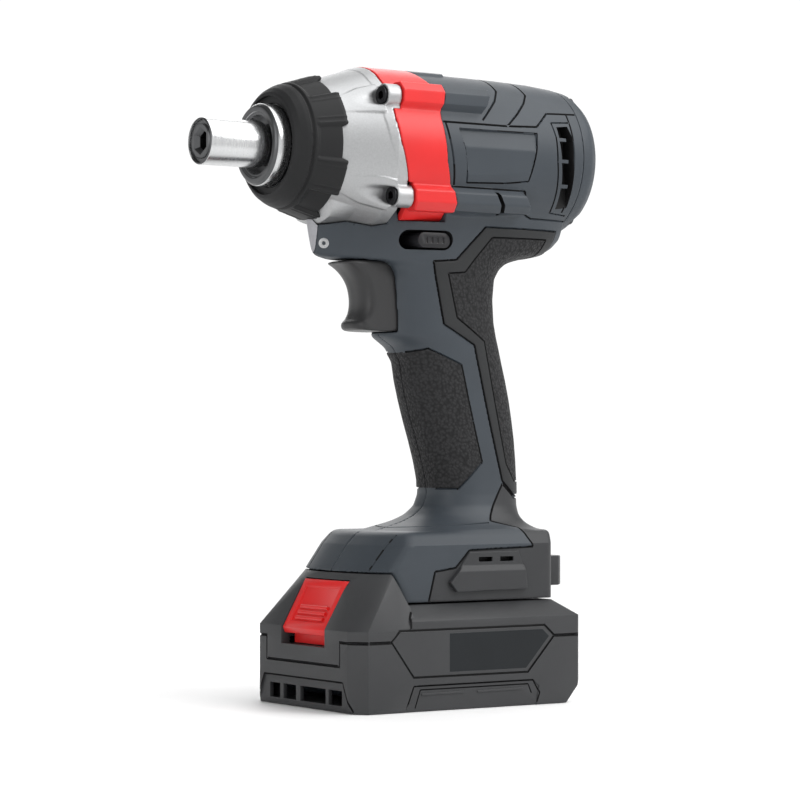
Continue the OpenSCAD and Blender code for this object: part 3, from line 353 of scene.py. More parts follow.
def pebbled(name, colour):
    """Soft rubber with an irregular raised pebble."""
    m, tree, shader, place = node_material(name)
    warp = add_node(tree, "TexNoise", Scale=420)
    tree.links.new(place, warp.inputs["Vector"])
    mix = add_node(tree, "Mix")
    mix.data_type = "VECTOR"
    mix.inputs["Factor"].default_value = 0.0012
    tree.links.new(place, mix.inputs["A"])
    tree.links.new(warp.outputs["Color"], mix.inputs["B"])
    cell = add_node(tree, "TexVoronoi")
    cell.feature = "SMOOTH_F1"
    cell.inputs["Scale"].default_value = 900
    cell.inputs["Smoothness"].default_value = 0.35
    tree.links.new(mix.outputs["Result"], cell.inputs["Vector"])
    # colour follows the pebble height: lighter on the tops, painted shade in the low gaps between
    # them
    tree.links.new(tint(tree, cell.outputs["Distance"], *around(colour, 0.3)[::-1]),
                   shader.inputs["Base Color"])
    tree.links.new(spread(tree, cell.outputs["Distance"], 0.5, 0.75), shader.inputs["Roughness"])
    flip = add_node(tree, "Math")
    flip.operation = "SUBTRACT"
    flip.inputs[0].default_value = 1
    tree.links.new(cell.outputs["Distance"], flip.inputs[1])
    shader.inputs["Specular IOR Level"].default_value = 0.2
    bump(tree, shader, flip.outputs["Value"], 0.8, 0.0005)
    return m


# %% The tool's finishes
HOUSING = moulded("housing_plastic", (0.037, 0.045, 0.054))
GUARD = moulded("dark_plastic", (0.029, 0.030, 0.032))
PACK = moulded("pack_plastic", (0.036, 0.037, 0.039))
RED = moulded("red_plastic", (0.62, 0.017, 0.017), rough=(0.30, 0.40), depth=0.00004)
BLACK = moulded("black_plastic", (0.014, 0.014, 0.016), rough=(0.30, 0.42))
TRIGGER_COAT = moulded("trigger_plastic", (0.026, 0.026, 0.027), rough=(0.34, 0.44))
LABEL_COAT = moulded("label_field", (0.011, 0.013, 0.015), rough=(0.36, 0.44), shine=0.2)
GRIP = pebbled("grip_rubber", (0.018, 0.018, 0.019))
GRIP_EDGE = moulded("grip_border", (0.016, 0.017, 0.018), rough=(0.5, 0.62))
BOOT = moulded("boot_rubber", (0.013, 0.0133, 0.014), rough=(0.5, 0.62), grain=1800, shine=0.22)
CASTING = metal("cast_alloy", (0.40, 0.405, 0.41), (0.42, 0.55), 1500, 0.00008)
BRIGHT = metal("bright_steel", (0.56, 0.565, 0.57), (0.2, 0.32), 300, 0.00001, (12, 1, 1))
STEEL = metal("tool_steel", (0.10, 0.102, 0.105), (0.28, 0.42), 400, 0.00002, (8, 1, 1))
WIRE = metal("spring_steel", (0.45, 0.46, 0.47), (0.25, 0.4), 700, 0.00001)
SCREW = metal("black_screw", (0.035, 0.035, 0.038), (0.3, 0.45), 900, 0.00002)
CORE = metal("core_steel", (0.28, 0.29, 0.30), (0.4, 0.55), 1200, 0.00004, (5, 1, 1))
COPPER = metal("copper", (0.72, 0.33, 0.14), (0.25, 0.4), 800, 0.00003)
LENS = moulded("lens", (0.30, 0.30, 0.32), rough=(0.2, 0.4), grain=1400, depth=0.0002, vary=0.25)
BOARD = moulded("board", (0.02, 0.10, 0.04), rough=(0.25, 0.4))
WRAP = moulded("cell_wrap", (0.010, 0.014, 0.018), rough=(0.3, 0.4))
# near-black coat for faces below the skin: painted shade in lines, slots, vents and wells
PAINTED_SHADE_COAT = moulded("shadowed_hollow", (0.004, 0.004, 0.0045), rough=(0.6, 0.8))
PAPER = moulded("studio_floor", (0.93, 0.93, 0.93), rough=(0.6, 0.7), grain=300, vary=0.01)

BY_SLOT = {m.name.split(".")[0]: m for m in (
    HOUSING, GUARD, PACK, RED, BLACK, GRIP, BOOT, CASTING, BRIGHT, STEEL, WIRE, SCREW, CORE,
    COPPER, BOARD, LENS, WRAP)}
BY_SLOT.update(magnet=BRIGHT, nickel=BRIGHT)
for part in frame["record"]["subparts"]:
    node = bpy.data.objects[part["node"]]
    coat_with(node, [BY_SLOT[part["material_slot"]]])

# %% [markdown]
# ## The moulded body
#
# Head, handle and foot are one moulding, split along the middle into two halves. The handle is
# a stack of rounded levels, each given by its front, its widest place, its back, its half
# width and how square its front and its back are. Reading the levels through a smooth run
# gives one flowing surface, where joining them with straight walls would show rings.

# %% Levels of the handle
# height, front, widest place, back, half width, squareness of front and of back
HANDLE_LEVELS = np.array([
    [63.5, -21, 18, 44.8, 26, 3.0, 3.2], [66.5, -16, 18, 43.4, 23.6, 2.8, 3.0],
    [68.5, -9, 19, 41.8, 20.8, 2.6, 2.8], [71, -3, 20, 40.7, 18.6, 2.5, 2.6],
    [74.5, 1.2, 21, 40.5, 17, 2.5, 2.5], [79, 2.8, 21.7, 40.6, 16.2, 2.5, 2.5],
    [84.5, 2.6, 21.7, 40.7, 15.8, 2.5, 2.5], [92, 0.8, 20.6, 40.5, 15.6, 2.5, 2.5],
    [100, -1.7, 19.2, 39.9, 15.5, 2.5, 2.5], [107.5, -4.2, 17.4, 38.9, 15.5, 2.5, 2.5],
    [115, -6.4, 15.7, 37.6, 15.6, 2.5, 2.5], [122.5, -8.2, 14, 35.8, 15.8, 2.5, 2.5],
    [130, -9.3, 12.2, 33.7, 16, 2.5, 2.5], [135.5, -13, 10.5, 32.3, 16.2, 2.5, 2.5],
    [139.4, -19.5, 9, 31.2, 16.4, 2.4, 2.5], [145, -19, 7.5, 30, 16.6, 2.4, 2.5],
    [154, -19.5, 6.5, 29.4, 16.9, 2.4, 2.5], [162, -21, 6, 30.2, 17.3, 2.3, 2.5],
    [166, -29, 5.5, 32.8, 17.8, 1.9, 2.5], [168.6, -47, 5, 36.5, 18.1, 1.5, 2.5],
    [170.4, -48.8, 5, 43.5, 18.4, 1.5, 2.5], [172.2, -49.4, 5, 53.5, 18.8, 1.5, 2.6],
    [175, -50, 5, 58.5, 19.3, 1.5, 2.7], [178, -50.6, 5, 61.3, 20, 1.5, 2.8],
    [182, -51.2, 5, 62.3, 20.8, 1.5, 2.8], [188, -51.6, 5, 62.3, 22, 1.5, 2.8]])
HANDLE_LOW, HANDLE_HIGH = 63.5, 188
LEVEL_Z = np.arange(HANDLE_LOW, HANDLE_HIGH, 0.1)
BLUR_REACH, BLUR_WIDTH = 30, 9.0
blur = np.exp(-(np.arange(-BLUR_REACH, BLUR_REACH + 1) / BLUR_WIDTH) ** 2)
blur /= blur.sum()


def smooth_run(column):
    run = np.interp(LEVEL_Z, HANDLE_LEVELS[:, 0], HANDLE_LEVELS[:, column])
    return np.convolve(np.pad(run, BLUR_REACH, mode="edge"), blur, "valid")


HANDLE_RUNS = [smooth_run(c) for c in range(1, 7)]


def handle(x, y, z):
    front, widest, back, half, sq_front, sq_back = (np.interp(z, LEVEL_Z, r) for r in HANDLE_RUNS)
    dx = x - widest
    reach = np.where(dx < 0, widest - front, back - widest)
    square = np.where(dx < 0, sq_front, sq_back)
    share = ((np.abs(dx) / reach) ** square + (np.abs(y) / half) ** square) ** (1 / square)
    d = np.hypot(dx, y) * (1 - 1 / np.maximum(share, 0.05))
    return np.maximum(d, between(z, HANDLE_LOW, HANDLE_HIGH))


# %% [markdown]
# The head is a barrel that narrows a little to its tail. Two angular bars on each side carry
# the long screws of the nose, and a low pad lies on top behind the red ring. The ring and the
# nose casting are pieces of their own, so the body stops short of them by a gap.

# %% Barrel, bars and the ring's place
BAR_SIDE = 25.4
BAR_UP = {"upper": 18.4, "lower": -18.6}
BAR_FLAT = 4.8
RING_REAR_UP = [-26.8, -15.2, -5.2, 10.8, 24.5, 31.7, 40]
RING_REAR_X = [-2.5, -5.0, -8.5, -10.5, -8.7, -12.1, -12.1]
RING_FRONT_UP = [-26.2, -13.8, 1.3, 9.8, 25, 31.7, 40]
RING_FRONT_X = [-20.6, -24.2, -29.5, -31, -31, -29.9, -29.9]
RING_LOW = -26.8
CHIN_X = -48.3
JOINT_X = -24.6
CONE_X, CONE_R, CONE_SLOPE = -29.6, 31.7, 0.31
CONE_MOST = 31.4
SADDLE_R = 28.6
PAD_HALF, PAD_RISE = 9.5, 0.8
FILLET = 0.5


def barrel_radius(x):
    return np.interp(x, [8, 30, 46, CAP_SEAM_X], [HEAD_R, 30.6, 30.0, 29.0])


def case_radius(x):
    return CONE_R + CONE_SLOPE * (x - CONE_X)


def from_axis(y, z):
    return np.hypot(y, z - AXIS_Z)


def case_outside(x, y, z):
    """Cone of the nose casting, widened to a saddle where it sits on the chin."""
    cone = np.minimum(case_radius(x), CONE_MOST)
    below = (AXIS_Z - z) / np.maximum(from_axis(y, z), 1)
    saddle = np.clip((below - 0.8) / 0.12, 0, 1) * np.clip((x + 50.8) / 2.2, 0, 1)
    return cone + saddle * np.maximum(SADDLE_R - cone, 0)


def ring_place(x, z, gap=0.0):
    """Distance outside the side view of the red ring."""
    up = z - AXIS_Z
    d = np.maximum(np.interp(up, RING_FRONT_UP, RING_FRONT_X) - x,
                   x - np.interp(up, RING_REAR_UP, RING_REAR_X))
    return np.maximum(d, RING_LOW - up) - gap


def eight_sided(y, up, flat):
    d = np.maximum(np.abs(y), np.abs(up))
    return np.maximum(d, (np.abs(y) + np.abs(up)) * math.sqrt(0.5)) - flat


def boss(y, up, which, flat=None):
    """Distance from a screw's axis, or outside an eight-sided bar round it."""
    side, up = np.abs(y) - BAR_SIDE, up - BAR_UP[which]
    return np.hypot(side, up) if flat is None else eight_sided(side, up, flat)


def barrel(x, y, z):
    up = z - AXIS_Z
    d = from_axis(y, z) - barrel_radius(x)
    pad = np.maximum(from_axis(y, z) - HEAD_R - PAD_RISE, np.abs(y) - PAD_HALF)
    pad = np.maximum(pad, between(x + 0.35 * np.abs(y), -11, 7.5))
    d = soft_min(d, np.maximum(pad, -up), FILLET)
    end = (x - 8.4 - 0.37 * (up - 11.4)) / 1.07
    d = soft_min(d, soft_max(boss(y, up, "upper", BAR_FLAT), end, FILLET), FILLET)
    slant = (x - 14.8 + 0.485 * (up + 16.4)) / 1.11
    low = boss(y, up, "lower", BAR_FLAT) + 0.3 * np.clip((slant - 0.6) / 0.6, 0, 1)
    d = soft_min(d, soft_max(low, slant - 12.9, FILLET), FILLET)
    return np.maximum(d, between(x, -12, CAP_SEAM_X - 0.1))


# %% [markdown]
# The foot is a slab with sloping shoulders that the battery slides under. Its front is bowed
# in plan and raked in profile. Below it, the rails' slot is left open.

# %% Foot and the whole body
RAIL_HALF, RAIL_LOW, RAIL_TOP, RAIL_END = 24.6, 43.4, 48.2, 37
MOUTH_HALF = 20
LIP_LOW = 50.7
FOOT_TOP = 65.5
FINGER_BACK, FINGER_LOW, FINGER_TOP = -17.4, 141.2, 167.6
TRIGGER_SLOT = (8.8, 140.6, 168, -2)
SKIN_STEP = 0.6


def foot(x, y, z):
    across = np.abs(y)
    lead = np.interp(z, [51, 60.5, FOOT_TOP], [-40.6, -33.5, -28.5])
    bow = 8.0 * np.minimum(across / FOOT_SIDE, 1.1) ** 2.6
    d = soft_max((lead + bow - x) * 0.8, LIP_LOW - z, 0.5)
    under = np.interp(z, [FOOT_LOW, 50.2, 51, 60], [-27.3, -32.2, -32, -14]) - x
    d = np.minimum(d, under * 0.6)
    side = (across - np.interp(z, [60.5, FOOT_TOP], [FOOT_SIDE, 26])) * 0.9
    d = soft_max(d, side, 2.0)
    back = x - 44.6 + np.maximum(across - 16, 0) ** 2 * 0.022
    d = soft_max(d, back, 2.0)
    d = soft_max(d, z - FOOT_TOP, 2.0)
    rails = np.maximum(across - RAIL_HALF, between(z, RAIL_LOW, RAIL_TOP))
    mouth = np.maximum(across - MOUTH_HALF, z - RAIL_TOP)
    d = np.maximum(d, FOOT_LOW - z)
    return np.maximum(d, -np.maximum(np.minimum(rails, mouth), x - RAIL_END))


def case_seat(x, y, z):
    return case_outside(x, y, z) + 0.4 - from_axis(y, z)


def body(x, y, z):
    d = soft_min(barrel(x, y, z), handle(x, y, z), 5)
    d = soft_min(d, foot(x, y, z), 4)
    d = np.maximum(d, -ring_place(x, z, 0.25))
    d = np.where(x < JOINT_X, soft_max(d, case_seat(x, y, z), 0.4), d)
    d = soft_max(d, CHIN_X - x, 0.5)
    finger = soft_max(soft_max(x - FINGER_BACK, z - FINGER_TOP, 9), FINGER_LOW - z, 5)
    d = soft_max(d, -finger, 0.8)
    half, low, high, back = TRIGGER_SLOT
    slot = np.maximum(np.maximum(np.abs(y) - half, between(z, low, high)), x - back)
    return np.maximum(d, -slot)


def half_body(x, y, z):
    return np.maximum(body(x, y, z), -y)


skin_points, skin_quads = cast_surface(half_body, (-52, -1.2, 38), (66, 33, 243), SKIN_STEP)
print("half body:", len(skin_points), "points")

# %% [markdown]
# ## Panels, grips and lines on the body
#
# The rubber grips, the foot guard and the raised side plate are drawn as outlines in the side
# view. Inside an outline the skin is lifted or pressed a little, and the outline itself
# becomes a cut line. Lines are laid onto the skin by casting rays at it, swept with a
# small wedge and cut out with a boolean, so they stay crisp where a bump map would smear.
# The screws enter from the far side, so that half alone gets their round wells.

# %% Outlines in the side view
def on_axis(points):
    """Outline points given by their height over the drive axis."""
    return [(x, AXIS_Z + up) for x, up in points]


REAR_GRIP = [(-5.4, 167.5), (4.3, 168.2), (16.3, 181.1), (54.4, 181.1), (51.6, 170), (51.6, 160),
             (90, 150), (90, 78.6), (34, 78.6), (27.6, 84), (14.1, 136), (-0.1, 143.7)]
REAR_GRIP_FIELD = [(1.2, 163), (8.7, 163.7), (19.9, 177.2), (48.3, 177.5), (45.4, 170), (45.4, 158),
                   (90, 146), (90, 84), (34.5, 84), (29.8, 90.6), (19, 137.6), (5.6, 146.4)]
FRONT_GRIP = [(-60, 130.3), (-23, 130.3), (-5.4, 134.6), (8.3, 128.6), (18.1, 91.4), (8.7, 81.2),
              (-60, 81.4)]
FOOT_GUARD = [(27.6, 83), (18.5, 69), (29, 66.4), (31.2, 59.3), (1.8, 58.5), (-4.6, 52),
              (-13.9, 50.8), (-19.3, 30), (90, 30), (90, 77.6), (34, 77.6)]
SIDE_PANEL = on_axis([(-9.6, 9.8), (19.8, 9.8), (34.5, 10.4), (41.3, 16.2), (56.4, 16.9)])
SIDE_PANEL_LOW = on_axis([(-4.6, -14.2), (30.2, -14.4), (34.4, -23.2), (37.6, -24.2),
                          (56.4, -24.2)])
PANEL_FRONT = on_axis([(-8.4, 9.7), (-7.3, 4), (-5.2, -5.5), (-3.4, -14)])
NAME_PLATE = on_axis([(-2.3, 7.7), (34.1, 7.8), (33.2, 0.8), (30.6, -10.7), (20, -11.9),
                      (2.1, -12.5), (0.2, -1)])
VENT_FRAME = on_axis([(51.6, 13.2), (42.1, 12.6), (43.3, 7.1), (43.6, -2.3), (45.3, -13.2),
                      (46.3, -21.6), (55.2, -22.2)])
VENT_RIGHT = [(50, 11.6), (52, 5.8), (52.1, -1.8), (52.8, -11), (53.6, -20.6)]
VENT_LEFT = [(48.1, -20), (47, -11.6), (45.6, -2.2), (44.8, 6.1), (44.3, 11)]
VENT_BAR = (3.3, 0.65)


def vent_window():
    """The opening with three short bars reaching in from its front edge."""
    points = list(VENT_RIGHT)
    long, thick = VENT_BAR
    for i, (x, up) in enumerate(VENT_LEFT):
        if 0 < i < len(VENT_LEFT) - 1:
            low, high = up - thick, up + thick
            points += [(x, low), (x + long, low), (x + long, high), (x, high)]
        else:
            points.append((x, up))
    return on_axis(points)


def outline_distance(outline, x, z):
    """Signed distance from points to an outline in the side view, negative inside."""
    x, z = np.broadcast_arrays(x, z)
    best = np.full(x.shape, 1e9)
    inside = np.zeros(x.shape, bool)
    for (x0, z0), (x1, z1) in zip(outline, outline[1:] + outline[:1]):
        ex, ez = x1 - x0, z1 - z0
        t = np.clip(((x - x0) * ex + (z - z0) * ez) / (ex * ex + ez * ez), 0, 1)
        best = np.minimum(best, np.hypot(x - x0 - t * ex, z - z0 - t * ez))
        crosses = (z0 > z) != (z1 > z)
        inside ^= crosses & (x < x0 + (z - z0) / np.where(ez == 0, 1e-9, ez) * ex)
    return np.where(inside, -best, best)


# %% Lift the grips, press the plate into two facets
GRIP_LIFT, FIELD_DROP, LIFT_EDGE = 0.35, 0.18, 0.7
PLATE_SIDE, PLATE_FOLD = 30.5, 0.8
normals = slope_of(body, skin_points)
normals /= np.maximum(np.linalg.norm(normals, axis=1), 1e-6)[:, None]
px, py, pz = skin_points.T
rim = py > 0.3
lift = np.zeros(len(skin_points))
for grip in (REAR_GRIP, FRONT_GRIP):
    lift += GRIP_LIFT * np.clip(-outline_distance(grip, px, pz) / LIFT_EDGE, 0, 1)
lift -= FIELD_DROP * np.clip(-outline_distance(REAR_GRIP_FIELD, px, pz) / LIFT_EDGE, 0, 1)
rise = pz - AXIS_Z - PLATE_FOLD
plate_face = PLATE_SIDE + np.where(rise > 0, -0.29, 0.105) * rise
on_plate = (outline_distance(NAME_PLATE, px, pz) < 0) & (py > 20)
skin_points = skin_points + (lift * rim)[:, None] * normals
skin_points[on_plate, 1] = np.minimum(py, plate_face)[on_plate]
print("lifted", int((lift > 0.1).sum()), "points, plate", int(on_plate.sum()))

# %% Lay a line on the skin
skin_tree = BVHTree.FromPolygons(skin_points.tolist(), skin_quads.tolist())
RAY_FROM, RAY_LONG = 60, 70
SEAM_KEEP = 0.25
NECK_X = 18


def walk(points, step=0.6):
    """Even steps along a polyline."""
    points = np.asarray(points, float)
    far = np.concatenate([[0], np.cumsum(np.linalg.norm(np.diff(points, axis=0), axis=1))])
    at = np.linspace(0, far[-1], max(3, int(far[-1] / step)))
    at = np.union1d(at[np.abs(at[:, None] - far[None, :]).min(1) > step * 0.4], far)
    return np.stack([np.interp(at, far, c) for c in points.T], 1)


def side_rays(points):
    return [((x, RAY_FROM, z), (0, -1, 0)) for x, z in walk(points)]


def barrel_rays(points):
    """Rays at the barrel from x and the angle down from its top."""
    rays = []
    for x, angle in walk(points, step=1.0):
        y, up = math.sin(math.radians(angle)), math.cos(math.radians(angle))
        rays.append(((x, RAY_FROM * y, AXIS_Z + RAY_FROM * up), (0, -y, -up)))
    return rays


def lay(rays, tree=skin_tree):
    """Points and outward normals where rays meet the skin."""
    spots = []
    for start, way in rays:
        spot, normal, _, _ = tree.ray_cast(Vector(start), Vector(way), RAY_LONG)
        if spot is not None and (tree is not skin_tree or spot.y > SEAM_KEEP):
            spots.append((spot, normal))
    return spots


def ring_quads(rows, sides):
    """Quads between rows of points that each go once round."""
    return [(i * sides + k, i * sides + (k + 1) % sides,
             (i + 1) * sides + (k + 1) % sides, (i + 1) * sides + k)
            for i in range(rows - 1) for k in range(sides)]


def wedge(spots, wide, deep):
    """A closed cutter with a diamond section along the spots."""
    points = []
    for i, (spot, normal) in enumerate(spots):
        ahead = (spots[min(i + 1, len(spots) - 1)][0] - spots[max(i - 1, 0)][0]).normalized()
        across = ahead.cross(normal).normalized() * (wide / 2)
        points += [spot - normal * deep, spot + across, spot + normal * deep, spot - across]
    last = tuple(range(len(points) - 4, len(points)))
    faces = ring_quads(len(spots), 4) + [(3, 2, 1, 0), last]
    return np.array([tuple(p) for p in points]), faces


def level_rays(low, high, start, end):
    """Rays at the neck from all round, rising from one height to another."""
    rays = []
    for turn, height in zip(np.radians(np.linspace(start, end, 60)), np.linspace(low, high, 60)):
        x, y = math.cos(turn), math.sin(turn)
        rays.append(((NECK_X + RAY_FROM * x, RAY_FROM * y, height), (-x, -y, 0)))
    return rays


def front_rays(points):
    return [((-90, y, z), (1, 0, 0)) for y, z in walk(points)]


def runs(points, closed=False):
    """A line's straight runs, so that each corner stays sharp."""
    ends = points[1:] + (points[:1] if closed else [])
    return [side_rays([a, b]) for a, b in zip(points, ends)]


LINE_WIDE, LINE_MID, LINE_THIN = 0.9, 0.8, 0.7
LINE_DEEP = 0.75
LINE_GROUPS = 4
TOP_LINE_A = [(22.9, 0.6), (22.9, 23.4), (22.3, 38), (18.1, 50.5), (12.9, 61), (9.1, 68.3)]
TOP_LINE_B = [(36, 0.6), (36, 26), (35.8, 39.5), (32, 50), (26.5, 61), (20.2, 71.6)]
TAIL_LINE = [(51.5, 56.5), (52, 90), (52.4, 136)]
cut_lines = []
for outline, closed, wide in (
        (SIDE_PANEL, False, LINE_WIDE), (SIDE_PANEL_LOW, False, LINE_WIDE),
        (NAME_PLATE, True, LINE_THIN), (REAR_GRIP, True, LINE_WIDE),
        (REAR_GRIP_FIELD, True, LINE_MID), (FRONT_GRIP, True, LINE_WIDE),
        (PANEL_FRONT, False, LINE_WIDE), (FOOT_GUARD, True, LINE_WIDE),
        (VENT_FRAME, False, LINE_THIN)):
    cut_lines += [(rays, wide) for rays in runs(outline, closed)]
cut_lines += [
    (barrel_rays(TOP_LINE_A), LINE_WIDE), (barrel_rays(TOP_LINE_B), LINE_WIDE),
    (barrel_rays(TAIL_LINE), LINE_MID), (level_rays(66.6, 68.4, 179.2, 92), LINE_MID),
    (front_rays([(22.4, 64.4), (21, 51.3)]), LINE_WIDE)]
print("cut lines:", len(cut_lines))


# %% Cut with a boolean
def cutter(name, points, faces):
    return mesh_object("cut_" + name, points, faces, smooth=False)


def side_prism(outline, y_low, y_high):
    """Straight prism on an outline in the side view."""
    n = len(outline)
    points = [(x, y, z) for y in (y_low, y_high) for x, z in outline]
    faces = [tuple(range(n)), tuple(range(2 * n - 1, n - 1, -1))]
    return points, faces + [(i, n + i, n + (i + 1) % n, (i + 1) % n) for i in range(n)]


def prism_cutter(name, outline, y_low, y_high):
    return cutter(name, *side_prism(outline, y_low, y_high))


def fix_normals(obj):
    bm = bmesh.new()
    bm.from_mesh(obj.data)
    bmesh.ops.recalc_face_normals(bm, faces=bm.faces)
    bm.to_mesh(obj.data)
    bm.free()


def carve(obj, cutters):
    """Takes the cutters out of a piece and drops them."""
    for tool in cutters:
        fix_normals(tool)
        m = obj.modifiers.new("cut", "BOOLEAN")
        m.operation = "DIFFERENCE"
        m.solver = "MANIFOLD"
        m.object = tool
    depsgraph = bpy.context.evaluated_depsgraph_get()
    mesh = bpy.data.meshes.new_from_object(obj.evaluated_get(depsgraph))
    obj.modifiers.clear()
    old = obj.data
    obj.data = mesh
    bpy.data.meshes.remove(old)
    for tool in cutters:
        data = tool.data
        bpy.data.objects.remove(tool)
        bpy.data.meshes.remove(data)


def line_cutters(lines, tree, deep):
    """Wedges for many lines, neighbours in different cutters."""
    bundles = [([], []) for _ in range(LINE_GROUPS)]
    laid = [(lay(rays, tree), wide) for rays, wide in lines]
    laid = [(spots, wide) for spots, wide in laid if len(spots) > 2]
    for number, (spots, wide) in enumerate(laid):
        points, faces = bundles[number % LINE_GROUPS]
        new_points, new_faces = wedge(spots, wide, deep)
        faces += [tuple(v + len(points) for v in ring) for ring in new_faces]
        points += new_points.tolist()
    return [cutter("lines_%d" % i, np.array(p), f) for i, (p, f) in enumerate(bundles) if p]


def oblong(x0, x1, z0, z1, sides=10):
    """Outline with two round ends."""
    r, mid = (z1 - z0) / 2, (z0 + z1) / 2
    turns = [(x, math.radians(first + 180 * k / sides))
             for x, first in ((x1 - r, -90), (x0 + r, 90)) for k in range(sides + 1)]
    return [(x + r * math.cos(t), mid + r * math.sin(t)) for x, t in turns]


OUTSIDE = 40
SLOT_STARTS, SLOT_LONG = (5.6, 15.4), 6.2
SLOT_LOW, SLOT_HIGH = 54.1, 55.9
SELECTOR_SLOT = oblong(-20, 2, 171.6, 179)
BAR_GAP = on_axis([(14.4, -15.6), (16.5, -15.6), (20.8, -24.6), (18.7, -24.6)])
SCREW_WELLS = [(11.5, 131.5), (17.5, 108), (20, 84.5), (-25, 57.5), (-31, 173.6)]
WELL_R = 3.0


def well(x, z, sides=24):
    """Round cut down to a screw's head."""
    turns = [math.tau * k / sides for k in range(sides)]
    outline = [(x + WELL_R * math.cos(t), z + WELL_R * math.sin(t)) for t in turns]
    return prism_cutter("well", outline, 7, OUTSIDE)


def cut_half(extra):
    """The half body with every line and opening cut."""
    half = mesh_object("half_skin", skin_points, skin_quads)
    tools = line_cutters(cut_lines, skin_tree, LINE_DEEP)
    slots = [[(x, SLOT_LOW), (x + SLOT_LONG, SLOT_LOW), (x + SLOT_LONG, SLOT_HIGH), (x, SLOT_HIGH)]
             for x in SLOT_STARTS]
    for name, outline, y_low in (("bar_gap", BAR_GAP, 22), ("vents", vent_window(), 22),
                                 ("slot", slots[0], 28), ("slot", slots[1], 28),
                                 ("selector", SELECTOR_SLOT, 5)):
        tools.append(prism_cutter(name, outline, y_low, OUTSIDE))
    carve(half, tools + extra)
    print("half body after cutting:", len(half.data.polygons), "faces")
    return half


left_half = cut_half([])
right_half = cut_half([well(x, z) for x, z in SCREW_WELLS])

# %% [markdown]
# Each cut half is then sorted into pieces. A face that lies below the uncut skin belongs to a
# line or a hollow and gets a near-black coat as painted shade; the others are sorted by the
# outline they lie in. The grips and the guard wrap round both halves. The flat walls inside
# the head are dropped, because the works turn in that room.

# %% Sort the faces into pieces
WORKS_R = 28.2
WORKS_X, WORKS_REACH = -11.5, 12
# faces deeper than this below the uncut skin get the painted shade coat
SHADE_PAINT_BELOW = 0.12
GUARD_TIP = FOOT_GUARD[6]  # the chip left here stays with the body
TIP_R = 0.9
SKIN_CREASE = 38


def stations_of(items, what):
    """Stations of a mesh's corners ("co") or of its faces ("center")."""
    values = np.empty(len(items) * 3)
    items.foreach_get(what, values)
    return to_stations(values.reshape(-1, 3))


def within(outline, centre):
    return outline_distance(outline, centre[:, 0], centre[:, 2]) < 0


def sort_half(half):
    """Points, faces, piece number and the faces that get painted shade of a cut half."""
    mesh = half.data
    centre = stations_of(mesh.polygons, "center")
    x, y, z = centre.T
    below = np.array([skin_tree.find_nearest(Vector(p))[3] for p in centre])
    guard = within(FOOT_GUARD, centre) & (np.hypot(x - GUARD_TIP[0], z - GUARD_TIP[1]) >= TIP_R)
    number = np.select([within(REAR_GRIP, centre), within(FRONT_GRIP, centre), guard], [1, 2, 3], 0)
    walls = (y < SHADE_PAINT_BELOW) | (np.abs(x - WORKS_X) < WORKS_REACH)
    number[walls & (from_axis(y, z) < WORKS_R)] = -1
    # "dark" marks the faces in lines and hollows that get the painted shade coat
    table = {"points": stations_of(mesh.vertices, "co"), "number": number,
             "faces": [tuple(p.vertices) for p in mesh.polygons], "dark": below > SHADE_PAINT_BELOW,
             "field": within(REAR_GRIP_FIELD, centre)}
    bpy.data.objects.remove(half)
    return table


halves = {-1: sort_half(left_half), 1: sort_half(right_half)}


def make_skin(name, number, sides, coats):
    """A piece of the skin from one or both halves; a third coat goes on the grip's field."""
    points, faces, coat = np.zeros((0, 3)), [], []
    for side in sides:
        table = halves[side]
        used = {}
        for f in np.flatnonzero(table["number"] == number):
            ring = [len(points) + used.setdefault(v, len(used)) for v in table["faces"][f]]
            faces.append(ring if side > 0 else ring[::-1])
            # a face in a line or hollow takes the second coat, painted shade
            coat.append(1 if table["dark"][f] else 2 * int(len(coats) > 2 and table["field"][f]))
        points = np.vstack([points, table["points"][list(used)] * [1, side, 1]])
    obj = mesh_object(name, points, faces, coats)
    obj.data.polygons.foreach_set("material_index", coat)
    crease(obj, SKIN_CREASE)
    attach(obj, "tool")
    return obj


# the second coat of each piece is painted shade for its lines and hollows
SKINS = (("left_skin", "left_housing", 0, (-1,), [HOUSING, PAINTED_SHADE_COAT]),
         ("right_skin", "right_housing", 0, (1,), [HOUSING, PAINTED_SHADE_COAT]),
         ("rear_grip_skin", "rear_grip", 1, (-1, 1), [GRIP_EDGE, PAINTED_SHADE_COAT, GRIP]),
         ("front_grip_skin", "front_grip", 2, (-1, 1), [GRIP, PAINTED_SHADE_COAT]),
         ("foot_guard_skin", "foot_guard", 3, (-1, 1), [GUARD, PAINTED_SHADE_COAT]))
for name, node, number, sides, coats in SKINS:
    obj = make_skin(name, number, sides, coats)
    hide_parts(node)
print("skin pieces made:", len(SKINS))

# %% [markdown]
# ## The nose
#
# Four long screws clamp the cast hammer case to the body. Each sits in a round boss, and a low
# web runs forward from the boss to stiffen the cone. The red ring covers the joint and climbs
# over the bosses as angular humps. The rubber boot has six pads round its skirt with a small
# ridge at each border. All three are cast from fields like the body.

# %% Case, ring and boot
BOSS_R = 4.4
BOSS_FRONT = {"upper": -34.0, "lower": -29.6}
HUMP_FRONT = {"upper": -27.8, "lower": -22.4}
HUMP_FLAT = 5.35
RING_R = 31.75
CASE_FRONT, CASE_REAR = -66, -24.9
SKIRT_END = -52.6
WEB_FLAT, WEB_START = 6.6, -47
FLUTE_R, HEAD_ROOM_R, SHANK_R = 3.4, 3.5, 1.95
SEAL_R, SEAL_HALF, SEAL_X = 17.1, 1.6, (-67.3, -65.4)
LENS_Z = (168.9, 182.5)
PAD_TURN = 60


def ring_room(x, y, z, gap=0.0):
    """Distance outside the ring's band, which leaves the bosses free."""
    up = z - AXIS_Z
    d = ring_place(x, z, gap)
    for which in BOSS_FRONT:
        d = np.maximum(d, -np.maximum(boss(y, up, which, HUMP_FLAT + 0.3 - gap),
                                      x - HUMP_FRONT[which]))
    return d


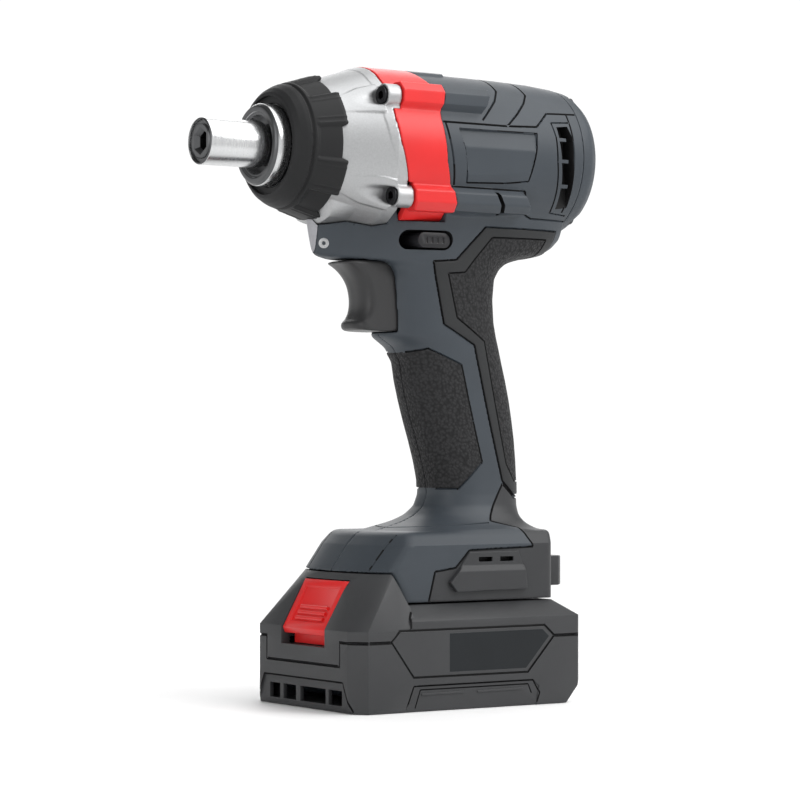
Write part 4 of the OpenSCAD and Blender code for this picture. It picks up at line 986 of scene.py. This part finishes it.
def hammer_case(x, y, z):
    up, r = z - AXIS_Z, from_axis(y, z)
    skirt = np.interp(x, [CASE_FRONT, -64.6, -60, SKIRT_END], [18, 18.6, 21.4, 23.6])
    outside = np.where(x < SKIRT_END, skirt, case_outside(x, y, z))
    near_ring = ring_place(x, z) - 4.2
    outside = outside + 0.16 * np.clip(-near_ring / 0.3, 0, 1) * (x > -45)
    d = (r - outside) * 0.95
    for which, front in BOSS_FRONT.items():
        rise = np.clip((x - WEB_START) / (front - WEB_START), 0, 1)
        web = soft_max(boss(y, up, which, WEB_FLAT), r - case_radius(x) - 0.9 * rise, FILLET)
        d = soft_min(d, np.maximum(web, x - front), FILLET)
        flute = np.maximum(boss(y, up, which) - FLUTE_R + 0.05 * (front - x), x - front)
        d = soft_max(d, -flute, 1.5)
    d = np.maximum(np.maximum(d, -ring_room(x, y, z, 0.2)), between(x, CASE_FRONT, CASE_REAR))
    for which, front in BOSS_FRONT.items():
        post = soft_max(boss(y, up, which) - BOSS_R, front - x, FILLET)
        d = soft_min(d, np.maximum(post, x - HUMP_FRONT[which] + 0.3), 0.9)
        head_room = np.maximum(boss(y, up, which) - HEAD_ROOM_R, between(x, front - 2, front + 2.6))
        d = np.maximum(d, -head_room)
    bore = np.where(x < -53.5, 13.1, np.where(x < -46, 20.7, 23.5))
    return np.maximum(d, bore - r)


def red_ring(x, y, z):
    up, r = z - AXIS_Z, from_axis(y, z)
    d = soft_max(r - RING_R, ring_room(x, y, z, -0.05), 0.4)
    edge = ring_place(x, z, -0.05)
    for which in BOSS_FRONT:
        ends = np.maximum(edge, HUMP_FRONT[which] - x)
        d = soft_min(d, soft_max(boss(y, up, which, HUMP_FLAT), ends, 0.4), 0.7)
    d = np.maximum(d, np.where(x < JOINT_X, 30.4, 29.35) - r)
    for which in BOSS_FRONT:
        off = boss(y, up, which)
        d = np.maximum(d, -np.maximum(off - BOSS_R - 0.3, x - HUMP_FRONT[which] - 0.05))
        d = np.maximum(d, SHANK_R - off)
    return d


BOOT_X = [-68.9, -68.6, -66.9, -64.6, -63.1, -62.8, -62.2, -61.6, -50.5]
BOOT_R = [18.4, 19.6, 21.3, 22.6, 23.2, 22.6, 22.6, 23.6, 26.9]
BOOT_IN_X = [-65.3, -64.6, -60, -52.7, -52.6, -48.5]
BOOT_IN_R = [18.3, 18.7, 21.45, 23.7, 24.65, 25.95]
BOOT_REAR = -49.2


def peak(off, middle, half):
    """One at the middle, nought half a width away."""
    return np.clip(1 - np.abs(off - middle) / half, 0, 1)


def rubber_boot(x, y, z):
    up, r = z - AXIS_Z, from_axis(y, z)
    turn = np.degrees(np.arctan2(up, np.abs(y)))
    off = np.abs((turn + PAD_TURN / 2) % PAD_TURN - PAD_TURN / 2)
    dip = np.clip((14.8 - off) / 1.6, 0, 1)
    back = np.clip((x + 61) / 1.2, 0, 1)
    ridge = peak(off, 16.2, 1.7) + 0.6 * peak(off, 21, 1.3)
    outside = np.interp(x, BOOT_X, BOOT_R) - 0.8 * dip * back + 0.42 * ridge * back
    d = soft_max((r - outside) * 0.9, x - BOOT_REAR + 2.0 * dip, 0.6)
    d = np.maximum(d, BOOT_X[0] - x)
    d = np.maximum(d, np.interp(x, BOOT_IN_X, BOOT_IN_R) - r)
    seal = soft_max(np.abs(r - SEAL_R) - SEAL_HALF, between(x, *SEAL_X), FILLET)
    return soft_min(d, seal, 0.3)


def lamp_lens(x, y, z):
    d = soft_max(handle(x, y, z), case_seat(x, y, z), 0.4)
    return np.maximum(np.maximum(d, x - CHIN_X + 0.12), between(z, *LENS_Z))


BODY_OF = {n: body_name for body_name, nodes in frame["record"]["behaviour"]["bodies"].items()
           for n in nodes}
CAST_CREASE = 40


def cast_piece(name, node, field, low, high, step, coat):
    """Casts a piece, sets it on its body and puts it in the node's place."""
    points, quads = cast_surface(field, low, high, step)
    obj = mesh_object(name, points, quads, [coat])
    crease(obj, CAST_CREASE)
    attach(obj, BODY_OF[node])
    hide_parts(node)
    print(name, len(points), "points")


cast_piece("case_skin", "hammer_case", hammer_case, (-67, -33, AXIS_Z - 33),
           (-22, 33, AXIS_Z + 33), 0.45, CASTING)
cast_piece("ring_skin", "accent_band", red_ring, (-33, -34, AXIS_Z - 28),
           (-1, 34, AXIS_Z + 33), 0.4, RED)
cast_piece("boot_skin", "nose_bumper", rubber_boot, (-70, -28, AXIS_Z - 28),
           (-48, 28, AXIS_Z + 28), 0.33, BOOT)
cast_piece("lens_skin", "lamp_lens", lamp_lens, (-53, -14, 168), (-47.5, 14, 184), 0.3, LENS)

# %% [markdown]
# A cross pin holds the lens and shows on both cheeks of the chin as a small ring. It is turned
# from one profile, mirrored to the far side and joined through the middle.

# %% Pin in the chin
PIN_AT = (-46.2, 173.5)
PIN_RINGS = [(0.01, -0.05), (0.6, -0.05), (0.8, 0.2), (1.5, 0.25), (1.95, 0.02), (1.95, -1.4)]
PIN_SIDES = 24
spot, normal = lay(side_rays([PIN_AT, (PIN_AT[0] + 0.1, PIN_AT[1])]))[0]
sideways = normal.cross(Vector((0, 0, 1))).normalized()
upwards = sideways.cross(normal)
turns = [math.tau * k / PIN_SIDES for k in range(PIN_SIDES)]
rings = np.array([[spot + normal * h + sideways * (r * math.cos(t)) + upwards * (r * math.sin(t))
                   for t in turns] for r, h in PIN_RINGS])
rings = np.vstack([rings, (rings * [1, -1, 1])[::-1]])
pin_faces = ring_quads(len(rings), PIN_SIDES)
pin_faces += [tuple(range(first, first + PIN_SIDES)) for first in (0, (len(rings) - 1) * PIN_SIDES)]
pin = mesh_object("nose_pin_skin", rings.reshape(-1, 3), pin_faces, [CASTING])
fix_normals(pin)
crease(pin, CAST_CREASE)
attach(pin, "tool")
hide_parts("nose_pin")
print("pin heads set at", tuple(round(c, 1) for c in spot))

# %% [markdown]
# ## The trigger
#
# A moulded trigger has a hollow front for the finger and a lip below. Its front is also round
# across, so the outline in the side view is pushed back towards both sides.

# %% Trigger
TRIGGER = [(-41.6, 167.6), (-35.4, 164.4), (-31.2, 159.5), (-29.7, 154), (-29.9, 149),
           (-31.4, 145.8), (-33.4, 144), (-33.2, 142), (-31, 140.9), (-13, 140.9), (-9.6, 144),
           (-9.6, 158), (-11, 163), (-14, 166.2), (-18.5, 167.6)]
TRIGGER_HALF = 8.3


def round_corners(outline, turns=3):
    """Cuts the corners of a closed outline again and again."""
    points = np.array(outline, float)
    for _ in range(turns):
        ahead = np.roll(points, -1, 0)
        cuts = [points * 0.75 + ahead * 0.25, points * 0.25 + ahead * 0.75]
        points = np.stack(cuts, 1).reshape(-1, 2)
    return [tuple(p) for p in points]


TRIGGER_CURVE = round_corners(TRIGGER)


def trigger(x, y, z):
    across = np.minimum(np.abs(y) / TRIGGER_HALF, 1.2)
    ahead = np.clip((-17 - x) / 8, 0, 1)
    d = outline_distance(TRIGGER_CURVE, x - 3.0 * across ** 3.2 * ahead, z) * 0.85
    return soft_max(d, np.abs(y) - TRIGGER_HALF, 1.2)


cast_piece("trigger_skin", "trigger", trigger, (-42.5, -9.2, 140), (-8.5, 9.2, 169), 0.4,
           TRIGGER_COAT)

# %% [markdown]
# ## The slotted block on the foot
#
# Each side of the foot carries a block with two slots in a lower ledge. It belongs to the dark
# guard, so it is cast as a layer on top of it.

# %% Foot blocks
SLOT_BLOCK = [(-8, 46.6), (-2, 52.8), (26.6, 52.6), (27.6, 43.4), (-5, 43)]
SLOT_LEDGE = [(-3, 52), (1.5, 58), (24.2, 58), (26.4, 52)]
BLOCK_RISE, LEDGE_RISE = 1.9, 0.7


def foot_block(x, y, z):
    across = np.abs(y)
    face = across - FOOT_SIDE - BLOCK_RISE + 0.5 * np.maximum(z - 50.6, 0)
    d = soft_max(outline_distance(SLOT_BLOCK, x, z), face, FILLET)
    ledge = soft_max(outline_distance(SLOT_LEDGE, x, z), across - FOOT_SIDE - LEDGE_RISE, FILLET)
    d = soft_min(d, ledge, 0.3)
    for start in SLOT_STARTS:
        slot = np.maximum(between(x, start, start + SLOT_LONG), between(z, SLOT_LOW, SLOT_HIGH))
        d = np.maximum(d, -slot)
    return np.maximum(d, FOOT_SIDE - 1.5 - across)


for side, low, high in (("left", -33, -28), ("right", 28, 33)):
    points, quads = cast_surface(foot_block, (-9.5, low, 41.5), (29, high, 59.5), 0.3)
    block = mesh_object(side + "_foot_block", points, quads, [GUARD])
    crease(block, CAST_CREASE)
    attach(block, "tool")
print("foot blocks cast")

# %% [markdown]
# ## The battery and the small pieces
#
# The battery's cases arrive as exact solids with sharp corners. A mould has no sharp corner, so
# each is copied, welded and given a fine bevel. The seams and panel borders are then cut with
# the same wedge as on the body, and the plate on the side is a sheet let into a shallow pocket.

# %% Copies with soft edges
HOOK_TOP = 50.0
HOOK_ROOM = [(-60, HOOK_TOP), (-20, HOOK_TOP), (-20, 60), (-60, 60)]
SMALL_PIECES = {"nose_bush": 0.3, "chuck_sleeve": 0.25, "rear_cap": 0.5, "strap_lug": 0.8,
                "direction_selector": 0.4, "release_button": 0.5}
# pieces whose faces toward the nose get painted shade
FRONTS_PAINTED_SHADE = ("nose_bush", "chuck_sleeve")
COPY_CREASE = 35


def break_edges(obj, edge):
    """A fine bevel on the corners, with its width in millimetres."""
    b = obj.modifiers.new("edge", "BEVEL")
    b.width = edge / 1000
    b.segments = 2
    b.limit_method = "ANGLE"
    b.angle_limit = math.radians(30)


def soft_copy(node, edge):
    """A copy of the node's solid with its corners broken."""
    source = bpy.data.objects[node]
    bm = bmesh.new()
    bm.from_mesh(source.data)
    bm.transform(source.matrix_world)
    bmesh.ops.remove_doubles(bm, verts=bm.verts, dist=2e-6)
    bmesh.ops.dissolve_limit(bm, angle_limit=math.radians(0.5), verts=bm.verts, edges=bm.edges)
    bm.verts.index_update()
    points = to_stations([tuple(v.co) for v in bm.verts])
    faces = [[v.index for v in f.verts] for f in bm.faces]
    bm.free()
    obj = mesh_object(node + "_skin", points, faces, list(source.data.materials))
    break_edges(obj, edge)
    carve(obj, [])
    return obj


def settle_piece(obj, node):
    obj.data.polygons.foreach_set("use_smooth", [True] * len(obj.data.polygons))
    crease(obj, COPY_CREASE)
    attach(obj, BODY_OF[node])
    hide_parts(node)


for node, edge in SMALL_PIECES.items():
    piece = soft_copy(node, edge)
    if node == "release_button":
        coat = piece.data.materials[0]
        carve(piece, [prism_cutter("hook", HOOK_ROOM, -20, 20)])
        coat_with(piece, [coat])
    # the faces toward the nose take darker tool steel as painted shade over the bright steel
    if node in FRONTS_PAINTED_SHADE:
        piece.data.materials.append(STEEL)
        faces_front = [int(p.normal.x < -0.6) for p in piece.data.polygons]
        piece.data.polygons.foreach_set("material_index", faces_front)
    settle_piece(piece, node)
print("soft copies:", len(SMALL_PIECES))

# %% [markdown]
# The pack is two mouldings that meet in a seam. The seam shows beside the tab and at the ends,
# each side has a plate in a six-sided frame, and the front has a tab over a row of openings.
# The lines are laid on one side and their cutters mirrored, so that both sides match.

# %% Battery cases with their lines
PACK_SIDE = 37.5
PACK_SEAM = 25.7
HEXAGON = [(-37.9, 25.9), (-34, 29.7), (31.6, 29.7), (36, 25.8), (23.7, 12.5), (-28.1, 12.6)]
LABEL = [(-12, 28.2), (30.6, 28.3), (33.6, 25.6), (22.9, 14), (-12, 14)]
LOW_PANEL = [(-31.5, 0.9), (-28.1, 9.3), (26.3, 9.3), (29.2, 4.5), (27.9, 0.9)]
LOW_PANEL_IN = [(-27.4, 1.2), (-25, 7.9), (24, 7.9), (25.6, 4.4)]
LOW_BARS = [(-24.6, -5.6), (0.5, 21.6)]
SHOULDER = [(-26.4, 39.5), (-29.3, 33.3), (-29.4, 29.9)]


def mirrored(tool):
    twin = bpy.data.objects.new(tool.name + "_twin", tool.data.copy())
    twin.data.transform(Matrix.Diagonal((1, -1, 1, 1)))
    bpy.context.collection.objects.link(twin)
    return twin


def grown(outline, gap):
    """Outline moved outwards by a gap, corner by corner."""
    points = np.array(outline, float)
    area = np.cross(points, np.roll(points, -1, 0)).sum()
    ways = np.roll(points, -1, 0) - points
    out = np.stack([ways[:, 1], -ways[:, 0]], 1) / np.linalg.norm(ways, axis=1)[:, None]
    out *= np.sign(area)
    before = np.roll(out, 1, 0)
    share = (1 + (out * before).sum(1))[:, None]
    return [tuple(p) for p in points + gap * (out + before) / share]


def dress_case(node, lines, edge):
    """A case of the pack with lines and a pocket on both sides, with painted shade where it is cut.
    """
    obj = soft_copy(node, edge)
    points = stations_of(obj.data.vertices, "co").tolist()
    tree = BVHTree.FromPolygons(points, [tuple(p.vertices) for p in obj.data.polygons])
    tools = line_cutters(lines, tree, PACK_LINE_DEEP)
    tools += [mirrored(tool) for tool in tools]
    pocket = prism_cutter("pocket", POCKET, PACK_SIDE - POCKET_DEEP, PACK_SIDE + 4)
    tools += [pocket, mirrored(pocket)]
    coat = obj.data.materials[0]
    carve(obj, tools)
    bm = bmesh.new()
    bm.from_mesh(obj.data)
    bmesh.ops.triangulate(bm, faces=bm.faces)
    bm.to_mesh(obj.data)
    bm.free()
    middles = stations_of(obj.data.polygons, "center")
    # faces more than a tenth of a millimetre below the uncut case get the painted shade coat
    deep = np.array([tree.find_nearest(Vector(p))[3] for p in middles]) > 0.1
    coat_with(obj, (coat, PAINTED_SHADE_COAT))
    obj.data.polygons.foreach_set("material_index", deep.astype(int))
    settle_piece(obj, node)
    print(node, len(obj.data.polygons), "faces,", int(deep.sum()), "in lines")


def front_lines(*ends):
    return [(front_rays([a, b]), LINE_THIN) for a, b in zip(ends, ends[1:])]


def corner_rays(z):
    """Rays at the slanted front corner of the pack."""
    way_x, way_y = CORNER_WAY
    return [((x - 9 * way_x, y - 9 * way_y, z), (way_x, way_y, 0)) for x, y in walk(CORNER)]


def seam_lines(z):
    rays = [side_rays([(-47.6, z), (-37.6, z)]), side_rays([(35.8, z), (48.2, z)]), corner_rays(z)]
    return [(r, LINE_WIDE) for r in rays]


CORNER = ((-53, 31), (-48, 37.5))
CORNER_WAY = (0.793, -0.61)
HALF_GAP = 0.2
POCKET = grown(HEXAGON, 0.45)
POCKET_DEEP, PACK_LINE_DEEP = 0.7, 0.6
tab_outside = front_lines((32.5, 25.5), (25.8, 25.5), (25.8, 16.7), (-0.4, 16.7))
tab_inside = front_lines((32.5, 25.9), (25.4, 25.9), (25.4, 17.1), (-0.4, 17.1))
vent_lines = front_lines((-0.4, 11.1), (27.7, 11.1), (32.9, 0.6))
panel_lines = [(rays, wide) for outline, wide in ((LOW_PANEL, 0.6), (LOW_PANEL_IN, 0.5))
               for rays in runs(outline)]
dress_case("pack_lower", seam_lines(PACK_SEAM - HALF_GAP) + tab_outside + vent_lines
           + panel_lines, 0.5)
dress_case("pack_upper", seam_lines(PACK_SEAM + HALF_GAP) + tab_inside
           + [(side_rays(SHOULDER), 1.0)], 0.6)


def sheet(name, outline, y_low, y_high, coat, edge=0.15):
    """The same thin sheet on both sides of the pack."""
    for side, sign in (("left", -1), ("right", 1)):
        points, faces = side_prism(outline, y_low, y_high)
        points = np.array(points) * [1, sign, 1]
        obj = mesh_object(side + "_" + name, points, faces, [coat], smooth=False)
        fix_normals(obj)
        break_edges(obj, edge)
        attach(obj, "battery")


sheet("side_plate", grown(HEXAGON, -0.3), PACK_SIDE - 1.1, PACK_SIDE - 0.1, PACK)
sheet("label_field", LABEL, PACK_SIDE - 0.3, PACK_SIDE - 0.04, LABEL_COAT, 0.03)
for i, (x0, x1) in enumerate(LOW_BARS):
    sheet("low_bar_%d" % i, [(x0, 5.7), (x1, 5.9), (x1, 6.8), (x0, 6.6)], PACK_SIDE - 1.4,
          PACK_SIDE - 0.02, PACK, 0.2)
print("plates set in")

# %% [markdown]
# The thumb finds the release button by three low ribs across its slope. They are plain bars
# with a chamfered top, set along the slope.

# %% Ribs of the release button
BUTTON_LOW = np.array([-52.6, 29.4])
BUTTON_RISE = np.array([0.488, 0.873])
BUTTON_OUT = np.array([-BUTTON_RISE[1], BUTTON_RISE[0]])
RIB = ((-0.7, -3.5), (-0.7, -0.2), (-0.25, 0.15), (0.25, 0.15), (0.7, -0.2), (0.7, -3.5))
RIB_HALF = 9.4
for i, along in enumerate((4.6, 6.9, 9.2)):
    mid = BUTTON_LOW + along * BUTTON_RISE
    rib = [tuple(mid + u * BUTTON_RISE + v * BUTTON_OUT) for u, v in RIB]
    points, faces = side_prism(rib, -RIB_HALF, RIB_HALF)
    obj = mesh_object("button_rib_%d" % i, points, faces, [RED], smooth=False)
    fix_normals(obj)
    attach(obj, "button")
print("button ribs made")

# %% [markdown]
# ## The floor
#
# A sheet of pale paper just under the pack catches the shadow. It is not attached to the
# tool.

# %% Pale studio floor
FLOOR_HALF, FLOOR_Z = 450, -0.2
ways = ((-1, -1), (1, -1), (1, 1), (-1, 1))
corners = [(x * FLOOR_HALF, y * FLOOR_HALF, FLOOR_Z) for x, y in ways]
floor = mesh_object("studio_floor", corners, [(0, 1, 2, 3)], [PAPER])
print("floor laid")
